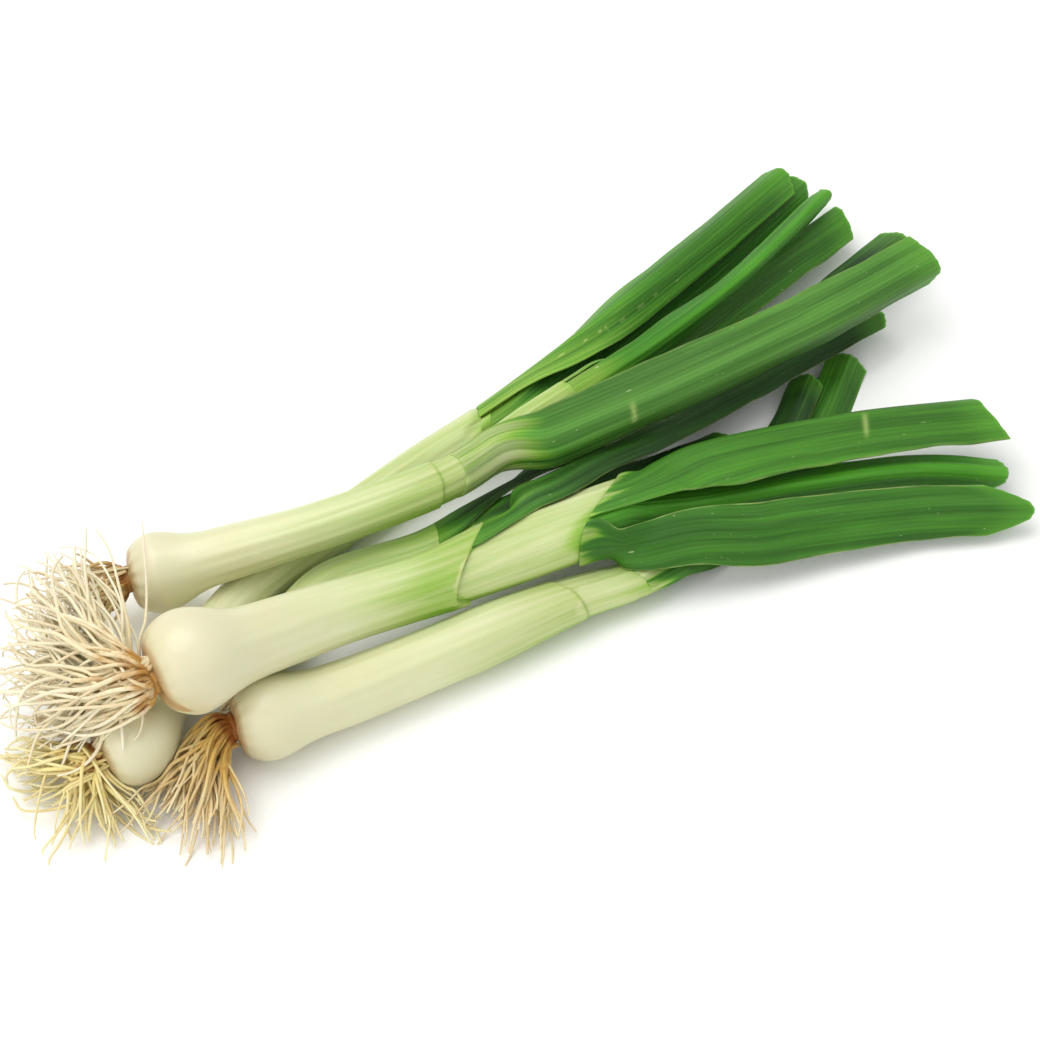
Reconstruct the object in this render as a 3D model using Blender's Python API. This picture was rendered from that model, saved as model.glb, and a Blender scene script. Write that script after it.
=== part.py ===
"""Spring onion bunch: five whole plants lying crossed on a surface.

Each plant has a shank (bulb, neck and rolled white stem), a tuft of roots on the basal plate
and flat, keeled leaves that leave the sheath one after another. Sizes and places are in
millimetres in the plan of the bunch, and MM and CENTRE turn them into metres in the part's
own frame: +X runs from the roots to the leaf tips, +Z is up and the bunch lies on Z = 0.
"""

import math
from dataclasses import dataclass, field

import bmesh
import bpy
import numpy as np
from mathutils import Vector
from mathutils.bvhtree import BVHTree

MM = 0.001
CENTRE = (-6.35, 3.42, 0.0)   # point of the plan that becomes the part's origin

SIDES = 12                    # sides of a shank
SIDE_STEP = 360.0 / SIDES     # degrees between two columns of a shank or a sheath
LEAF_ROWS = 14
ROW_CROWDING = 1.5            # above 1, a leaf's rows lie closer where it leaves the sheath
LAYER = 1.35                  # one rolled sheath: its wall and the gap under it
SCAR_DEPTH = 0.6              # step left by an outer sheath that was stripped
SEAM_HALF = 0.15              # half the length over which a sheath's end steps down
RING_PITCH = 6.0              # between the rings of a shank past its first seam
RINGS_PAST_BULB = 12
LEAF_THICK = 1.0
LEAF_LIFT = 0.05              # between a leaf and the floor
SEAM_GAP = 0.7                # between a leaf's base and the step it grows from
EDGE_GAP = 2.5                # degrees that a sheath stays back at each edge
BASE_FOLD = 25.0              # degrees that a blade is folded at most where it leaves the shank
FLOOR = 0.0
FLOOR_SNAP = 1.5              # a shank's points this near to the floor lie flat on it
ROOT_SIDES = 3
ROOT_STEPS = 7
ROOT_RADIUS = (0.55, 0.75)    # at the basal plate, from the thinnest strand to the thickest
ROOT_TIP = 0.55               # radius at a strand's tip for 1 at the plate
ROOT_CLEARANCE = 0.9          # from a strand's middle line to a bulb
TUFT_CLEARANCE = 1.9          # between the middle lines of strands of two plants
PLATE_SIDES = 8
PLATE_RINGS = ((0.35, 0.30), (1.6, 0.31), (2.9, 0.20))   # behind the bulb, share of its radius
SHANK_COLOUR = (0.86, 0.88, 0.68)
LEAF_COLOUR = (0.10, 0.36, 0.05)
ROOT_COLOUR = (0.80, 0.70, 0.45)


def catmull_rom(points, density=14):
    """Return a dense smooth line through hand chosen points."""
    pts = np.asarray(points, float)
    pts = np.vstack([2 * pts[0] - pts[1], pts, 2 * pts[-1] - pts[-2]])
    line = []
    for p0, p1, p2, p3 in zip(pts, pts[1:], pts[2:], pts[3:]):
        t0 = 0.0
        t1 = t0 + math.sqrt(np.linalg.norm(p1 - p0))
        t2 = t1 + math.sqrt(np.linalg.norm(p2 - p1))
        t3 = t2 + math.sqrt(np.linalg.norm(p3 - p2))
        for t in np.linspace(t1, t2, density, endpoint=False):
            a1 = (t1 - t) / (t1 - t0) * p0 + (t - t0) / (t1 - t0) * p1
            a2 = (t2 - t) / (t2 - t1) * p1 + (t - t1) / (t2 - t1) * p2
            a3 = (t3 - t) / (t3 - t2) * p2 + (t - t2) / (t3 - t2) * p3
            b1 = (t2 - t) / (t2 - t0) * a1 + (t - t0) / (t2 - t0) * a2
            b2 = (t3 - t) / (t3 - t1) * a2 + (t - t1) / (t3 - t1) * a3
            line.append((t2 - t) / (t2 - t1) * b1 + (t - t1) / (t2 - t1) * b2)
    line.append(pts[-2])
    return np.array(line)


def smoothstep(x):
    """Return 0 below 0, 1 above 1 and a smooth rise between."""
    x = min(max(x, 0.0), 1.0)
    return x * x * (3 - 2 * x)


def unit(vector):
    """Return the vector at length 1."""
    return vector / np.linalg.norm(vector)


class Route:
    """A smooth line, read by the distance along it."""

    def __init__(self, points):
        self.line = catmull_rom(points)
        steps = np.linalg.norm(np.diff(self.line, axis=0), axis=1)
        self.along = np.concatenate([[0.0], np.cumsum(steps)])
        self.length = float(self.along[-1])

    def point(self, s):
        """Return the place at distance s, straight on past either end."""
        if s > self.length:
            return self.line[-1] + unit(self.line[-1] - self.line[-2]) * (s - self.length)
        if s < 0.0:
            return self.line[0] + unit(self.line[1] - self.line[0]) * s
        return np.array([np.interp(s, self.along, self.line[:, axis]) for axis in range(3)])

    def frame(self, s):
        """Return the forward, up and left directions at distance s."""
        forward = unit(self.point(s + 2.0) - self.point(s - 2.0))
        left = unit(np.cross((0.0, 0.0, 1.0), forward))
        return forward, np.cross(forward, left), left


@dataclass
class Leaf:
    """One leaf: where it leaves the sheath, the keel of its blade and its cut end."""

    start: float               # distance along the shank where its sheath opens
    facing: float              # degrees from up towards the left, of its back on the shank
    keel: list                 # places of the blade's keel, after the sheath
    widths: tuple              # widths of the left and the right half of the blade
    roll: float                # degrees from up towards the left, of the keel of the blade
    fold: float                # degrees that each half turns away from flat at the keel
    layer: int = 0             # 0 is the outermost sheath
    columns: int = 6
    hold: float = 6.0          # length of whole sheath before it opens
    opening: float = 26.0      # length over which the sheath opens into the blade
    turning: float = 70.0      # length over which the blade rolls from facing to roll
    skew: float = 0.0          # how far one margin outlasts the other at the cut end
    rounding: float = 3.0      # how far the margins fall short of the keel at the cut end
    taper: float = 0.85        # width at the tip for a width of 1 in the middle
    waist: float = 1.0         # width at the base for a width of 1 in the middle


@dataclass
class Tuft:
    """Roots of one plant: how many strands, how long and how they spread."""

    count: int
    length: tuple              # of the shortest strand and the longest
    spread: float              # degrees of the widest strand from the shank's own line
    pull: tuple                # direction that the whole tuft is combed to
    comb: float                # share of that direction taken up at each step
    droop: float               # how strongly the tips sink
    seed: int


@dataclass
class Plant:
    """One onion: its middle line, its radii, its seams, its leaves and its roots."""

    name: str
    line: list                 # places of the middle line, from the basal plate on
    bulb: float                # radius of the bulb
    neck: float                # radius where the bulb has narrowed
    shank: float               # radius of the white stem
    collar: tuple              # half width and half height where the leaves open
    length: float              # from the basal plate to the end of the solid core
    leaves: list
    tuft: Tuft
    slant: float = 0.0         # how far a seam runs further on one side
    slant_facing: float = 90.0  # degrees of the side where it does
    slant_at: float = 120.0    # distance where seams slant and the collar is reached
    scar: float = 0.0          # where a stripped outer sheath ended, 0 for none
    route: Route = field(init=False)

    def __post_init__(self):
        self.route = Route(self.line)

    def radius(self, s):
        """Return the outer radius of the round part at distance s from the basal plate."""
        x = s / self.bulb
        lower = self.neck + (self.bulb - self.neck) * math.exp(-(max(x - 0.7, 0.0) / 0.8) ** 2)
        closing = 0.36 + 0.64 * math.sqrt(max(0.0, 1.0 - (1.0 - min(x / 0.75, 1.0)) ** 2))
        slim = smoothstep((s - 2.2 * self.bulb) / (2.5 * self.bulb))
        return (lower * (1 - slim) + self.shank * slim) * closing

    def warp(self, s, degrees):
        """Return the distance s moved so that seams slant round the shank."""
        near = math.exp(-((s - self.slant_at) / 36.0) ** 4)
        return s + self.slant * near * math.cos(math.radians(degrees - self.slant_facing))

    def skin(self, s, degrees, depth):
        """Return a place under the shank's outer surface by depth."""
        forward, up, left = self.route.frame(s)
        angle = math.radians(degrees)
        opening = smoothstep((s - self.slant_at + 50.0) / 45.0)
        wide = self.radius(s) * (1 - opening) + self.collar[0] * opening
        high = self.radius(s) * (1 - opening) + self.collar[1] * opening
        reach = wide * high / math.hypot(high * math.sin(angle), wide * math.cos(angle))
        outward = up * math.cos(angle) + left * math.sin(angle)
        return self.route.point(s) + outward * (reach - depth)

    def steps(self):
        """Return the stations where a sheath ends, with the depth below the skin after each."""
        marks = []
        if self.scar:
            marks.append((self.scar, SCAR_DEPTH))
        for leaf in sorted(self.leaves, key=lambda item: item.start):
            marks.append((leaf.start, LAYER * (leaf.layer + 1)))
        return marks

    def depth(self, s):
        """Return how far the core lies under the skin at distance s."""
        return max([0.0] + [deep for at, deep in self.steps() if s > at])


def shank_rings(plant):
    """Return the rings of a shank from the basal plate to its rounded end."""
    stations = list(np.linspace(0.0, 1.0, 6) ** 1.6 * plant.bulb)
    first = plant.steps()[0][0]
    last = plant.length - 6.0
    stations += list(np.linspace(plant.bulb * 1.3, first - RING_PITCH, RINGS_PAST_BULB))
    stations += list(np.arange(first, last, RING_PITCH))
    for at, _ in plant.steps():
        stations = [s for s in stations if abs(s - at) > 2.5]
        stations += [at - SEAM_HALF, at + SEAM_HALF]
    ends = {last: 0.92, plant.length - 3.5: 0.55, plant.length: 0.25}
    stations += list(ends)
    rings = []
    for s in sorted(stations):
        ring = []
        for side in range(SIDES):
            degrees = side * SIDE_STEP
            at = plant.warp(s, degrees)
            skin = plant.skin(at, degrees, plant.depth(s))
            middle = plant.route.point(at)
            place = middle + (skin - middle) * ends.get(s, 1.0)
            place[2] = FLOOR if place[2] < FLOOR + FLOOR_SNAP else place[2]
            ring.append(place)
        rings.append(ring)
    return rings


def blade_offset(leaf, v, along, turned):
    """Return the offsets across the blade and off its keel for v from -1 to 1."""
    steps = 8
    fold = leaf.fold * turned + min(leaf.fold, BASE_FOLD) * (1 - turned)
    width = leaf.widths[0 if v > 0 else 1] * (1 - (1 - leaf.taper) * along)
    width *= leaf.waist + (1 - leaf.waist) * smoothstep(along / 0.4)
    angle_at = [fold * smoothstep(abs(v) * k / steps / 0.35) for k in range(1, steps + 1)]
    piece = width * abs(v) / steps
    across = sum(math.cos(math.radians(angle)) for angle in angle_at) * piece
    off = sum(math.sin(math.radians(angle)) for angle in angle_at) * piece
    return math.copysign(across, v), -off


def leaf_surface(plant, leaf, rows, columns):
    """Return the middle surface of a leaf as rows of points across it."""
    wrap = leaf.columns / 2 * SIDE_STEP - EDGE_GAP
    inner = LAYER * leaf.layer + LEAF_THICK / 2
    begin = plant.warp(leaf.start, leaf.facing)
    lead = [plant.skin(begin + k * leaf.hold, leaf.facing, inner) for k in range(3)]
    route = Route(lead + [np.array(p, float) for p in leaf.keel])
    surface = []
    for row in range(rows + 1):
        u = (row / rows) ** ROW_CROWDING
        line = []
        for column in range(columns + 1):
            v = 2.0 * column / columns - 1.0
            end = smoothstep((u - 0.75) / 0.25)
            d = SEAM_GAP + u * (route.length - SEAM_GAP)
            d += end * (leaf.skew * v - leaf.rounding * v * v)
            opened = smoothstep((d - leaf.hold) / leaf.opening)
            degrees = leaf.facing + v * wrap
            sheath = plant.skin(plant.warp(leaf.start + d, degrees), degrees, inner)
            forward, up, left = route.frame(d)
            turned = smoothstep((d - leaf.hold) / leaf.turning)
            across, off = blade_offset(leaf, v, u, turned)
            roll = math.radians(leaf.facing + (leaf.roll - leaf.facing) * turned)
            outward = up * math.cos(roll) + left * math.sin(roll)
            sideways = np.cross(outward, forward)
            blade = route.point(d) + sideways * across + outward * off
            line.append(sheath * (1 - opened) + blade * opened)
        surface.append(line)
    return surface


def to_part(place):
    """Return a place of the plan in metres in the part's frame."""
    return Vector([(value - shift) * MM for value, shift in zip(place, CENTRE)])


def material(name, colour, roughness):
    """Return a plain material of its own for one piece."""
    made = bpy.data.materials.new(name)
    made.use_nodes = True
    shader = made.node_tree.nodes["Principled BSDF"]
    shader.inputs["Base Color"].default_value = (*colour, 1.0)
    shader.inputs["Roughness"].default_value = roughness
    shader.inputs["Metallic"].default_value = 0.0
    return made


def add_object(name, mesh_data, colour, roughness):
    """Link a mesh from a bmesh as one named piece with its own material."""
    mesh = bpy.data.meshes.new(name)
    bmesh.ops.recalc_face_normals(mesh_data, faces=mesh_data.faces)
    mesh_data.to_mesh(mesh)
    mesh_data.free()
    mesh.shade_smooth()
    mesh.set_sharp_from_angle(angle=math.radians(50))
    piece = bpy.data.objects.new(name, mesh)
    bpy.context.scene.collection.objects.link(piece)
    mesh.materials.append(material(name, colour, roughness))
    return piece


def loft(rings):
    """Return a closed bmesh through rings of equal count, capped at both ends."""
    made = bmesh.new()
    loops = [[made.verts.new(to_part(place)) for place in ring] for ring in rings]
    count = len(loops[0])
    for low, high in zip(loops, loops[1:]):
        for side in range(count):
            after = (side + 1) % count
            made.faces.new((low[side], low[after], high[after], high[side]))
    made.faces.new(loops[0])
    made.faces.new(loops[-1])
    return made


def add_shank(plant):
    """Add the bulb, neck and rolled stem of one plant."""
    rings = shank_rings(plant)
    return add_object(plant.name + "_shank", loft(rings), SHANK_COLOUR, 0.42)


def add_leaf(plant, leaf, number):
    """Add one leaf as a triangulated middle surface that Solidify makes a blade."""
    surface = leaf_surface(plant, leaf, LEAF_ROWS, leaf.columns)
    made = bmesh.new()
    grid = []
    lowest = FLOOR + LEAF_THICK / 2 + LEAF_LIFT
    for line in surface:
        grid.append([made.verts.new(to_part((x, y, max(z, lowest)))) for x, y, z in line])
    for low, high in zip(grid, grid[1:]):
        for column in range(leaf.columns):
            a, b = low[column], low[column + 1]
            c, d = high[column + 1], high[column]
            if column < leaf.columns / 2:
                made.faces.new((a, b, c))
                made.faces.new((a, c, d))
            else:
                made.faces.new((a, b, d))
                made.faces.new((b, c, d))
    piece = add_object(f"{plant.name}_leaf_{number}", made, LEAF_COLOUR, 0.45)
    wall = piece.modifiers.new("wall", "SOLIDIFY")
    wall.thickness = LEAF_THICK * MM
    wall.offset = 0.0
    wall.use_even_offset = False
    return piece


class Obstacles:
    """The shanks and the strands that a new strand keeps clear of."""

    def __init__(self, shanks):
        vertices = []
        faces = []
        for piece in shanks:
            start = len(vertices)
            vertices += [piece.matrix_world @ v.co for v in piece.data.vertices]
            faces += [[start + index for index in face.vertices] for face in piece.data.polygons]
        self.tree = BVHTree.FromPolygons(vertices, faces)
        self.taken = {}

    def distance(self, place):
        """Return the distance in millimetres outside the nearest shank, and its normal."""
        near, normal, _, _ = self.tree.find_nearest(to_part(place))
        away = to_part(place) - near
        return away.dot(normal) / MM if away.dot(normal) < 0 else away.length / MM, normal, near

    def pushed_out(self, place, clearance):
        """Return the place, moved out of the shanks and up off the floor."""
        gap, normal, near = self.distance(place)
        if gap < clearance:
            moved = near + normal * clearance * MM
            place = np.array([moved[axis] / MM + CENTRE[axis] for axis in range(3)])
        place[2] = max(place[2], FLOOR + ROOT_CLEARANCE)
        return place

    def is_free(self, line, plant_name, skip):
        """Tell whether a strand keeps clear of shanks and of other plants' strands."""
        dense = Route(line)
        places = np.array([dense.point(s) for s in np.arange(0.0, dense.length, 1.0)])
        for place in places[skip:]:
            if self.distance(place)[0] < ROOT_CLEARANCE * 0.8:
                return False
        for owner, others in self.taken.items():
            if owner == plant_name:
                continue
            gaps = np.linalg.norm(places[:, None, :] - others[None, :, :], axis=2)
            if gaps.min() < TUFT_CLEARANCE:
                return False
        return True

    def take(self, line, plant_name):
        """Remember a strand."""
        dense = Route(line)
        places = np.array([dense.point(s) for s in np.arange(0.0, dense.length, 1.0)])
        before = self.taken.get(plant_name)
        self.taken[plant_name] = places if before is None else np.vstack([before, places])


def grow_strand(plant, obstacles, rng):
    """Return one strand as a list of places from inside the basal plate to its tip."""
    tuft = plant.tuft
    forward, up, left = plant.route.frame(0.0)
    out = rng.uniform(0.0, 1.0) ** 0.6
    around = rng.uniform(0.0, 2 * math.pi)
    radial = up * math.cos(around) + left * math.sin(around)
    lean = math.radians(tuft.spread * out)
    heading = -forward * math.cos(lean) + radial * math.sin(lean)
    place = plant.route.point(0.0) - forward * 1.4 + radial * out * plant.bulb * 0.22
    length = rng.uniform(*tuft.length)
    step = length / ROOT_STEPS
    curl = rng.normal(0.0, 0.16, 3)
    line = [place, place + heading * 2.5]
    for index in range(ROOT_STEPS):
        heading = heading + curl + rng.normal(0.0, 0.06, 3)
        heading = heading + np.array(tuft.pull) * tuft.comb
        heading[2] -= tuft.droop * (index + 1) / ROOT_STEPS
        heading = unit(heading)
        moved = obstacles.pushed_out(line[-1] + heading * step, ROOT_CLEARANCE * 1.4)
        heading = unit(moved - line[-1])
        line.append(moved)
    return line


def strand_mesh(line, thick):
    """Return a tapered strand of few sides along a line."""
    route = Route(line)
    rings = []
    count = ROOT_STEPS + 2
    for index in range(count):
        s = route.length * index / (count - 1)
        forward, up, left = route.frame(s)
        reach = thick * (1.0 - (1.0 - ROOT_TIP) * index / (count - 1))
        ring = []
        for side in range(ROOT_SIDES):
            angle = 2 * math.pi * side / ROOT_SIDES
            ring.append(route.point(s) + (up * math.cos(angle) + left * math.sin(angle)) * reach)
        rings.append(ring)
    return loft(rings)


def add_roots(plant, obstacles):
    """Add the basal plate and its strands, fused by one union on a collection."""
    forward, up, left = plant.route.frame(0.0)
    plate = []
    for back, share in PLATE_RINGS:
        middle = plant.route.point(0.0) - forward * back
        ring = []
        for side in range(PLATE_SIDES):
            angle = 2 * math.pi * side / PLATE_SIDES
            outward = up * math.cos(angle) + left * math.sin(angle)
            ring.append(middle + outward * plant.bulb * share)
        plate.append(ring)
    body = add_object(plant.name + "_roots", loft(plate), ROOT_COLOUR, 0.6)
    strands = bpy.data.collections.new(plant.name + "_strands")
    rng = np.random.default_rng(plant.tuft.seed)
    grown = 0
    for _ in range(plant.tuft.count * 30):
        if grown == plant.tuft.count:
            break
        line = grow_strand(plant, obstacles, rng)
        if not obstacles.is_free(line, plant.name, 4):
            continue
        obstacles.take(line, plant.name)
        mesh = bpy.data.meshes.new("strand")
        made = strand_mesh(line, rng.uniform(*ROOT_RADIUS))
        bmesh.ops.recalc_face_normals(made, faces=made.faces)
        made.to_mesh(mesh)
        made.free()
        strands.objects.link(bpy.data.objects.new("strand", mesh))
        grown += 1
    union = body.modifiers.new("fuse", "BOOLEAN")
    union.operation = "UNION"
    union.operand_type = "COLLECTION"
    union.collection = strands
    union.solver = "EXACT"
    bpy.context.view_layer.update()
    graph = bpy.context.evaluated_depsgraph_get()
    fused = bpy.data.meshes.new_from_object(body.evaluated_get(graph))
    body.modifiers.remove(union)
    body.data = fused
    for strand in list(strands.objects):
        bpy.data.objects.remove(strand)
    bpy.data.collections.remove(strands)
    return body


PLANTS = [
    Plant(
        name="onion_a",
        line=[(-136, -28, 38), (-127, -28, 38), (-107, -27, 33.5), (-78, -24, 26), (-45, -25, 22),
              (-13, -24.5, 20), (20, -26.6, 19.3), (50, -29, 18)],
        bulb=15.8, neck=10.6, shank=9.6, collar=(13.0, 9.6), length=158.5,
        slant=14.0, slant_facing=90.0, slant_at=132.0,
        leaves=[
            Leaf(start=107.0, facing=60, roll=12, fold=22, widths=(9.0, 6.0), columns=4,
                 hold=2.0, opening=14.0, turning=16.0,
                 keel=[(-4, -13.2, 28.5), (5, -13, 28.2), (20, -9, 25), (42, -4, 19),
                       (67, 0.9, 14), (94, 5, 12.5), (147, 13, 10)]),
            Leaf(start=152.0, facing=30, roll=50, fold=60, widths=(4.5, 21.0), columns=4,
                 hold=2.0, opening=16.0, turning=30.0,
                 keel=[(40, -18, 24), (53, -17.4, 23.5), (105, -27.1, 20), (145, -40.2, 18)],
                 waist=0.65, skew=-8.0, rounding=0.0),
            Leaf(start=152.0, facing=-30, layer=1, roll=-40, fold=52, widths=(8.0, 7.5),
                 columns=4, hold=4.0, opening=16.0,
                 keel=[(46, -34, 17.3), (84, -42.8, 14.6), (116, -52.9, 12.8),
                       (141, -67.2, 11.2)]),
            Leaf(start=152.0, facing=-90, roll=-35, fold=14, widths=(12.0, 11.0), columns=4,
                 hold=1.0, opening=14.0, turning=26.0,
                 keel=[(20, -43, 19.9), (36.6, -46.8, 19.4), (56, -53.6, 16.3), (70, -56.5, 14.5),
                       (108, -67.4, 11), (141, -81.9, 8.7)],
                 waist=0.55, rounding=16.0, taper=0.7),
        ],
        tuft=Tuft(count=30, length=(28.0, 46.0), spread=75.0, pull=(-0.5, 0.7, -0.2), comb=0.12,
                  droop=0.26, seed=11),
    ),
    Plant(
        name="onion_b",
        line=[(-123, 24, 18), (-114, 22, 18), (-91, 14, 23.5), (-63, 8, 26.5), (-25, 6.5, 26),
              (-10, 9.5, 25), (11, 15, 25), (39, 21, 25), (60, 26, 25)],
        bulb=12.6, neck=8.4, shank=7.4, collar=(7.4, 7.2), length=172.0,
        slant=2.0, slant_facing=0.0, slant_at=112.0, scar=98.0,
        leaves=[
            Leaf(start=106.0, facing=-60, roll=-62, fold=42, widths=(17.0, 8.0), waist=0.75,
                 keel=[(8, 0, 26.8), (28, -1.2, 27.5), (47, -1.2, 27.8), (66, -1, 28),
                       (114, 2.5, 27), (167, 11, 24)]),
            Leaf(start=156.0, facing=90, layer=1, roll=24, fold=55, widths=(8.0, 15.0),
                 columns=4, waist=0.45, turning=30.0,
                 keel=[(55, 30.5, 18.5), (75, 34.5, 18), (106, 45, 16), (160, 61, 13)]),
            Leaf(start=156.0, facing=-38, layer=1, roll=-36, fold=66, widths=(7.0, 7.0),
                 columns=4, waist=0.5, keel=[(65, 24, 28.3), (104, 37, 26), (157, 62, 21)]),
        ],
        tuft=Tuft(count=18, length=(20.0, 36.0), spread=75.0, pull=(-0.6, 0.3, 0.1), comb=0.08,
                  droop=0.22, seed=12),
    ),
    Plant(
        name="onion_c",
        line=[(-156, -29, 13.5), (-146, -28, 13.5), (-127, -15, 11), (-94, 8, 8.0),
              (-58, 19, 7.6), (-25, 27, 8.5), (8, 32, 11), (26, 36, 12), (50, 42, 12)],
        bulb=14.0, neck=8.4, shank=7.4, collar=(7.8, 7.4), length=196.0,
        slant=4.0, slant_facing=90.0, slant_at=172.0,
        leaves=[
            Leaf(start=174.0, facing=60, roll=0, fold=38, widths=(9.0, 11.0), columns=4,
                 keel=[(45, 45, 20), (58, 49, 20), (107, 66, 18.5), (153, 85, 15)]),
            Leaf(start=178.0, facing=-60, layer=1, roll=-30, fold=20, widths=(8.0, 7.0),
                 columns=4, keel=[(45, 38, 12), (62, 44, 12), (111, 61, 11), (160, 81, 9)]),
            Leaf(start=174.0, facing=-90, roll=-80, fold=12, widths=(4.5, 4.5), columns=4,
                 keel=[(50, 32, 7), (67, 36, 7), (118, 52, 7), (166, 75, 6)]),
        ],
        tuft=Tuft(count=16, length=(18.0, 28.0), spread=75.0, pull=(-0.8, -0.2, -0.4), comb=0.08,
                  droop=0.35, seed=13),
    ),
    Plant(
        name="onion_d",
        line=[(-117, -38, 12.6), (-104, -40, 12.6), (-84, -41.5, 11), (-47, -42, 9.6),
              (-8, -42, 9.0), (19, -43.5, 7.2), (40, -42, 5.8)],
        bulb=13.0, neck=10.0, shank=9.5, collar=(8.0, 5.8), length=147.0,
        slant=4.0, slant_facing=-90.0, slant_at=128.0, scar=110.0,
        leaves=[
            Leaf(start=132.0, facing=-30, roll=-10, fold=15, widths=(8.5, 8.5),
                 columns=4, waist=0.6, turning=40.0,
                 keel=[(32, -44.5, 8), (46, -42, 5), (70, -33, 3.5), (104, -15, 3), (131, 7, 3)]),
            Leaf(start=138.0, facing=120, roll=10, fold=15, widths=(7.0, 7.0), columns=4,
                 turning=35.0, layer=1, waist=0.6,
                 keel=[(42, -33.2, 6.8), (60, -28.5, 7), (88, -15, 6), (112, 4, 6)]),
        ],
        tuft=Tuft(count=18, length=(24.0, 38.0), spread=60.0, pull=(-0.8, -0.4, -0.3), comb=0.25,
                  droop=0.35, seed=14),
    ),
    Plant(
        name="onion_e",
        line=[(-105, -20, 9.5), (-97, -15, 9.5), (-85, -8, 9), (-68, -1.5, 9), (-35, -5, 10),
              (-16, -2, 9), (20, 2, 7)],
        bulb=9.5, neck=7.0, shank=7.6, collar=(8.0, 6.4), length=102.0,
        slant=3.0, slant_facing=90.0, slant_at=80.0,
        leaves=[
            Leaf(start=78.0, facing=60, roll=10, fold=12, widths=(9.0, 5.5),
                 keel=[(2, 7, 11), (32, 11, 11), (70, 15, 13), (120, 22, 16), (170, 35.5, 17)]),
            Leaf(start=92.0, facing=-60, layer=1, roll=-10, fold=15, widths=(7.0, 7.0),
                 keel=[(20, -4, 4.5), (50, -6, 3.5), (76, -6, 3)]),
        ],
        tuft=Tuft(count=5, length=(10.0, 18.0), spread=60.0, pull=(-0.6, -0.4, -0.3), comb=0.1,
                  droop=0.3, seed=15),
    ),
]


def main():
    """Build the bunch."""
    for old in list(bpy.data.objects):
        bpy.data.objects.remove(old)
    shanks = [add_shank(plant) for plant in PLANTS]
    obstacles = Obstacles(shanks)
    for plant in PLANTS:
        for number, leaf in enumerate(plant.leaves, 1):
            add_leaf(plant, leaf, number)
        add_roots(plant, obstacles)


main()
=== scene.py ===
"""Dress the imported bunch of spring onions: skins, leaves, roots, light and camera.

The plan of the bunch is in millimetres, as in the part's source, and MM and CENTRE turn it into
metres in the frame. Each plant builds its shank and leaves from the same lines and radii as its
solids, only finer, and its roots from many more strands.
"""
import logging
import math
from dataclasses import dataclass, field
from enum import Enum
from typing import Optional

import bmesh
import bpy
import numpy as np
from mathutils import Matrix, Vector
from mathutils.bvhtree import BVHTree


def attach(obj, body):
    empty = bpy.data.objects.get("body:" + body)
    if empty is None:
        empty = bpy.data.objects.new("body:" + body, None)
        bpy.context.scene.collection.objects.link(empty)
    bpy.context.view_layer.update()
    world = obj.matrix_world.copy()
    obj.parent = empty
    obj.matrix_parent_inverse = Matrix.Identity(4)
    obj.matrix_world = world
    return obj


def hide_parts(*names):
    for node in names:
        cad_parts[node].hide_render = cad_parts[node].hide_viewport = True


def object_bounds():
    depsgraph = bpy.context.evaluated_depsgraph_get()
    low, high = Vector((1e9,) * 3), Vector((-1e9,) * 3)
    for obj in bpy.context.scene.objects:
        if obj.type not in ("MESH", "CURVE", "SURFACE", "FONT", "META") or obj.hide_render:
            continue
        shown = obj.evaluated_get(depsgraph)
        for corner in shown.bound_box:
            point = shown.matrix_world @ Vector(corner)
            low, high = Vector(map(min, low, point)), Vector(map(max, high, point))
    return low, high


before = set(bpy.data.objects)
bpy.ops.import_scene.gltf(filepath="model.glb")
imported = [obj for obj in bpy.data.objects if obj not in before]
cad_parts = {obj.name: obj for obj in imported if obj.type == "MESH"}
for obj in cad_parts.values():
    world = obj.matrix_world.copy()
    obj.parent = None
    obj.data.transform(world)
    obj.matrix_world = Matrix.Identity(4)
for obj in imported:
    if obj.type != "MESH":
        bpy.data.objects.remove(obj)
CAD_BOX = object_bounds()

LOG = logging.getLogger("onions")

Array = np.ndarray
Pair = tuple[float, float]
Triple = tuple[float, float, float]
Socket = bpy.types.NodeSocket

# Lengths of the plan are in millimetres and angles in degrees.
MM = 0.001
CENTRE = np.array([-6.35, 3.42, 0.0])
# Sheaths and leaves.
SIDE_STEP = 30.0
LAYER = 1.35
SCAR_DEPTH = 0.6
LEAF_THICK = 1.0
MARGIN_THICK = 0.45
SEAM_GAP = -0.3
EDGE_GAP = 2.5
BASE_FOLD = 25.0
SHANK_SIDES = 96
RING_PITCH = 1.3
END_LENGTH = 6.0
# Where a seam slants, where its sheath is torn to a flap, and the painted shade on the lower front
# flank of each shank, drawn greener and darker.
SLANT_REACH = 36.0
TORN_REACH = 9.0
FLAP_FACING = -108.0
FLAP_WIDTH = 13.0
FLAP_LENGTH = 5.0
FLANK_FACING = -115.0
FLANK_WIDTH = 42.0
FLANK_SHADE = 0.10
SEAM_RINGS = np.array([-2.6, -1.5, -0.8, -0.4, -0.18, 0.0, 0.18, 0.5, 1.2, 2.2])
LEAF_ROWS = 190
LEAF_COLUMNS = 40
FOLD_STEPS = 16
RIB_PITCH = 2.2
# Root strands, and the least heights over the floor.
STRAND_POINTS = 18
STRAND_SIDES = 6
STRAND_SPACING = 1.6
STRAND_CLEARANCE = 0.9
STRAND_HEIGHT = 0.55
LEAF_HEIGHT = 0.05
BOX_GAP = 0.6
PLATE_SIDES = 32


def blend(t: Array, low: float, high: float, first: Array, second: Array) -> Array:
    """Return first where t is low, second where t is high and their mix between."""
    return (high - t) / (high - low) * first + (t - low) / (high - low) * second


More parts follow.
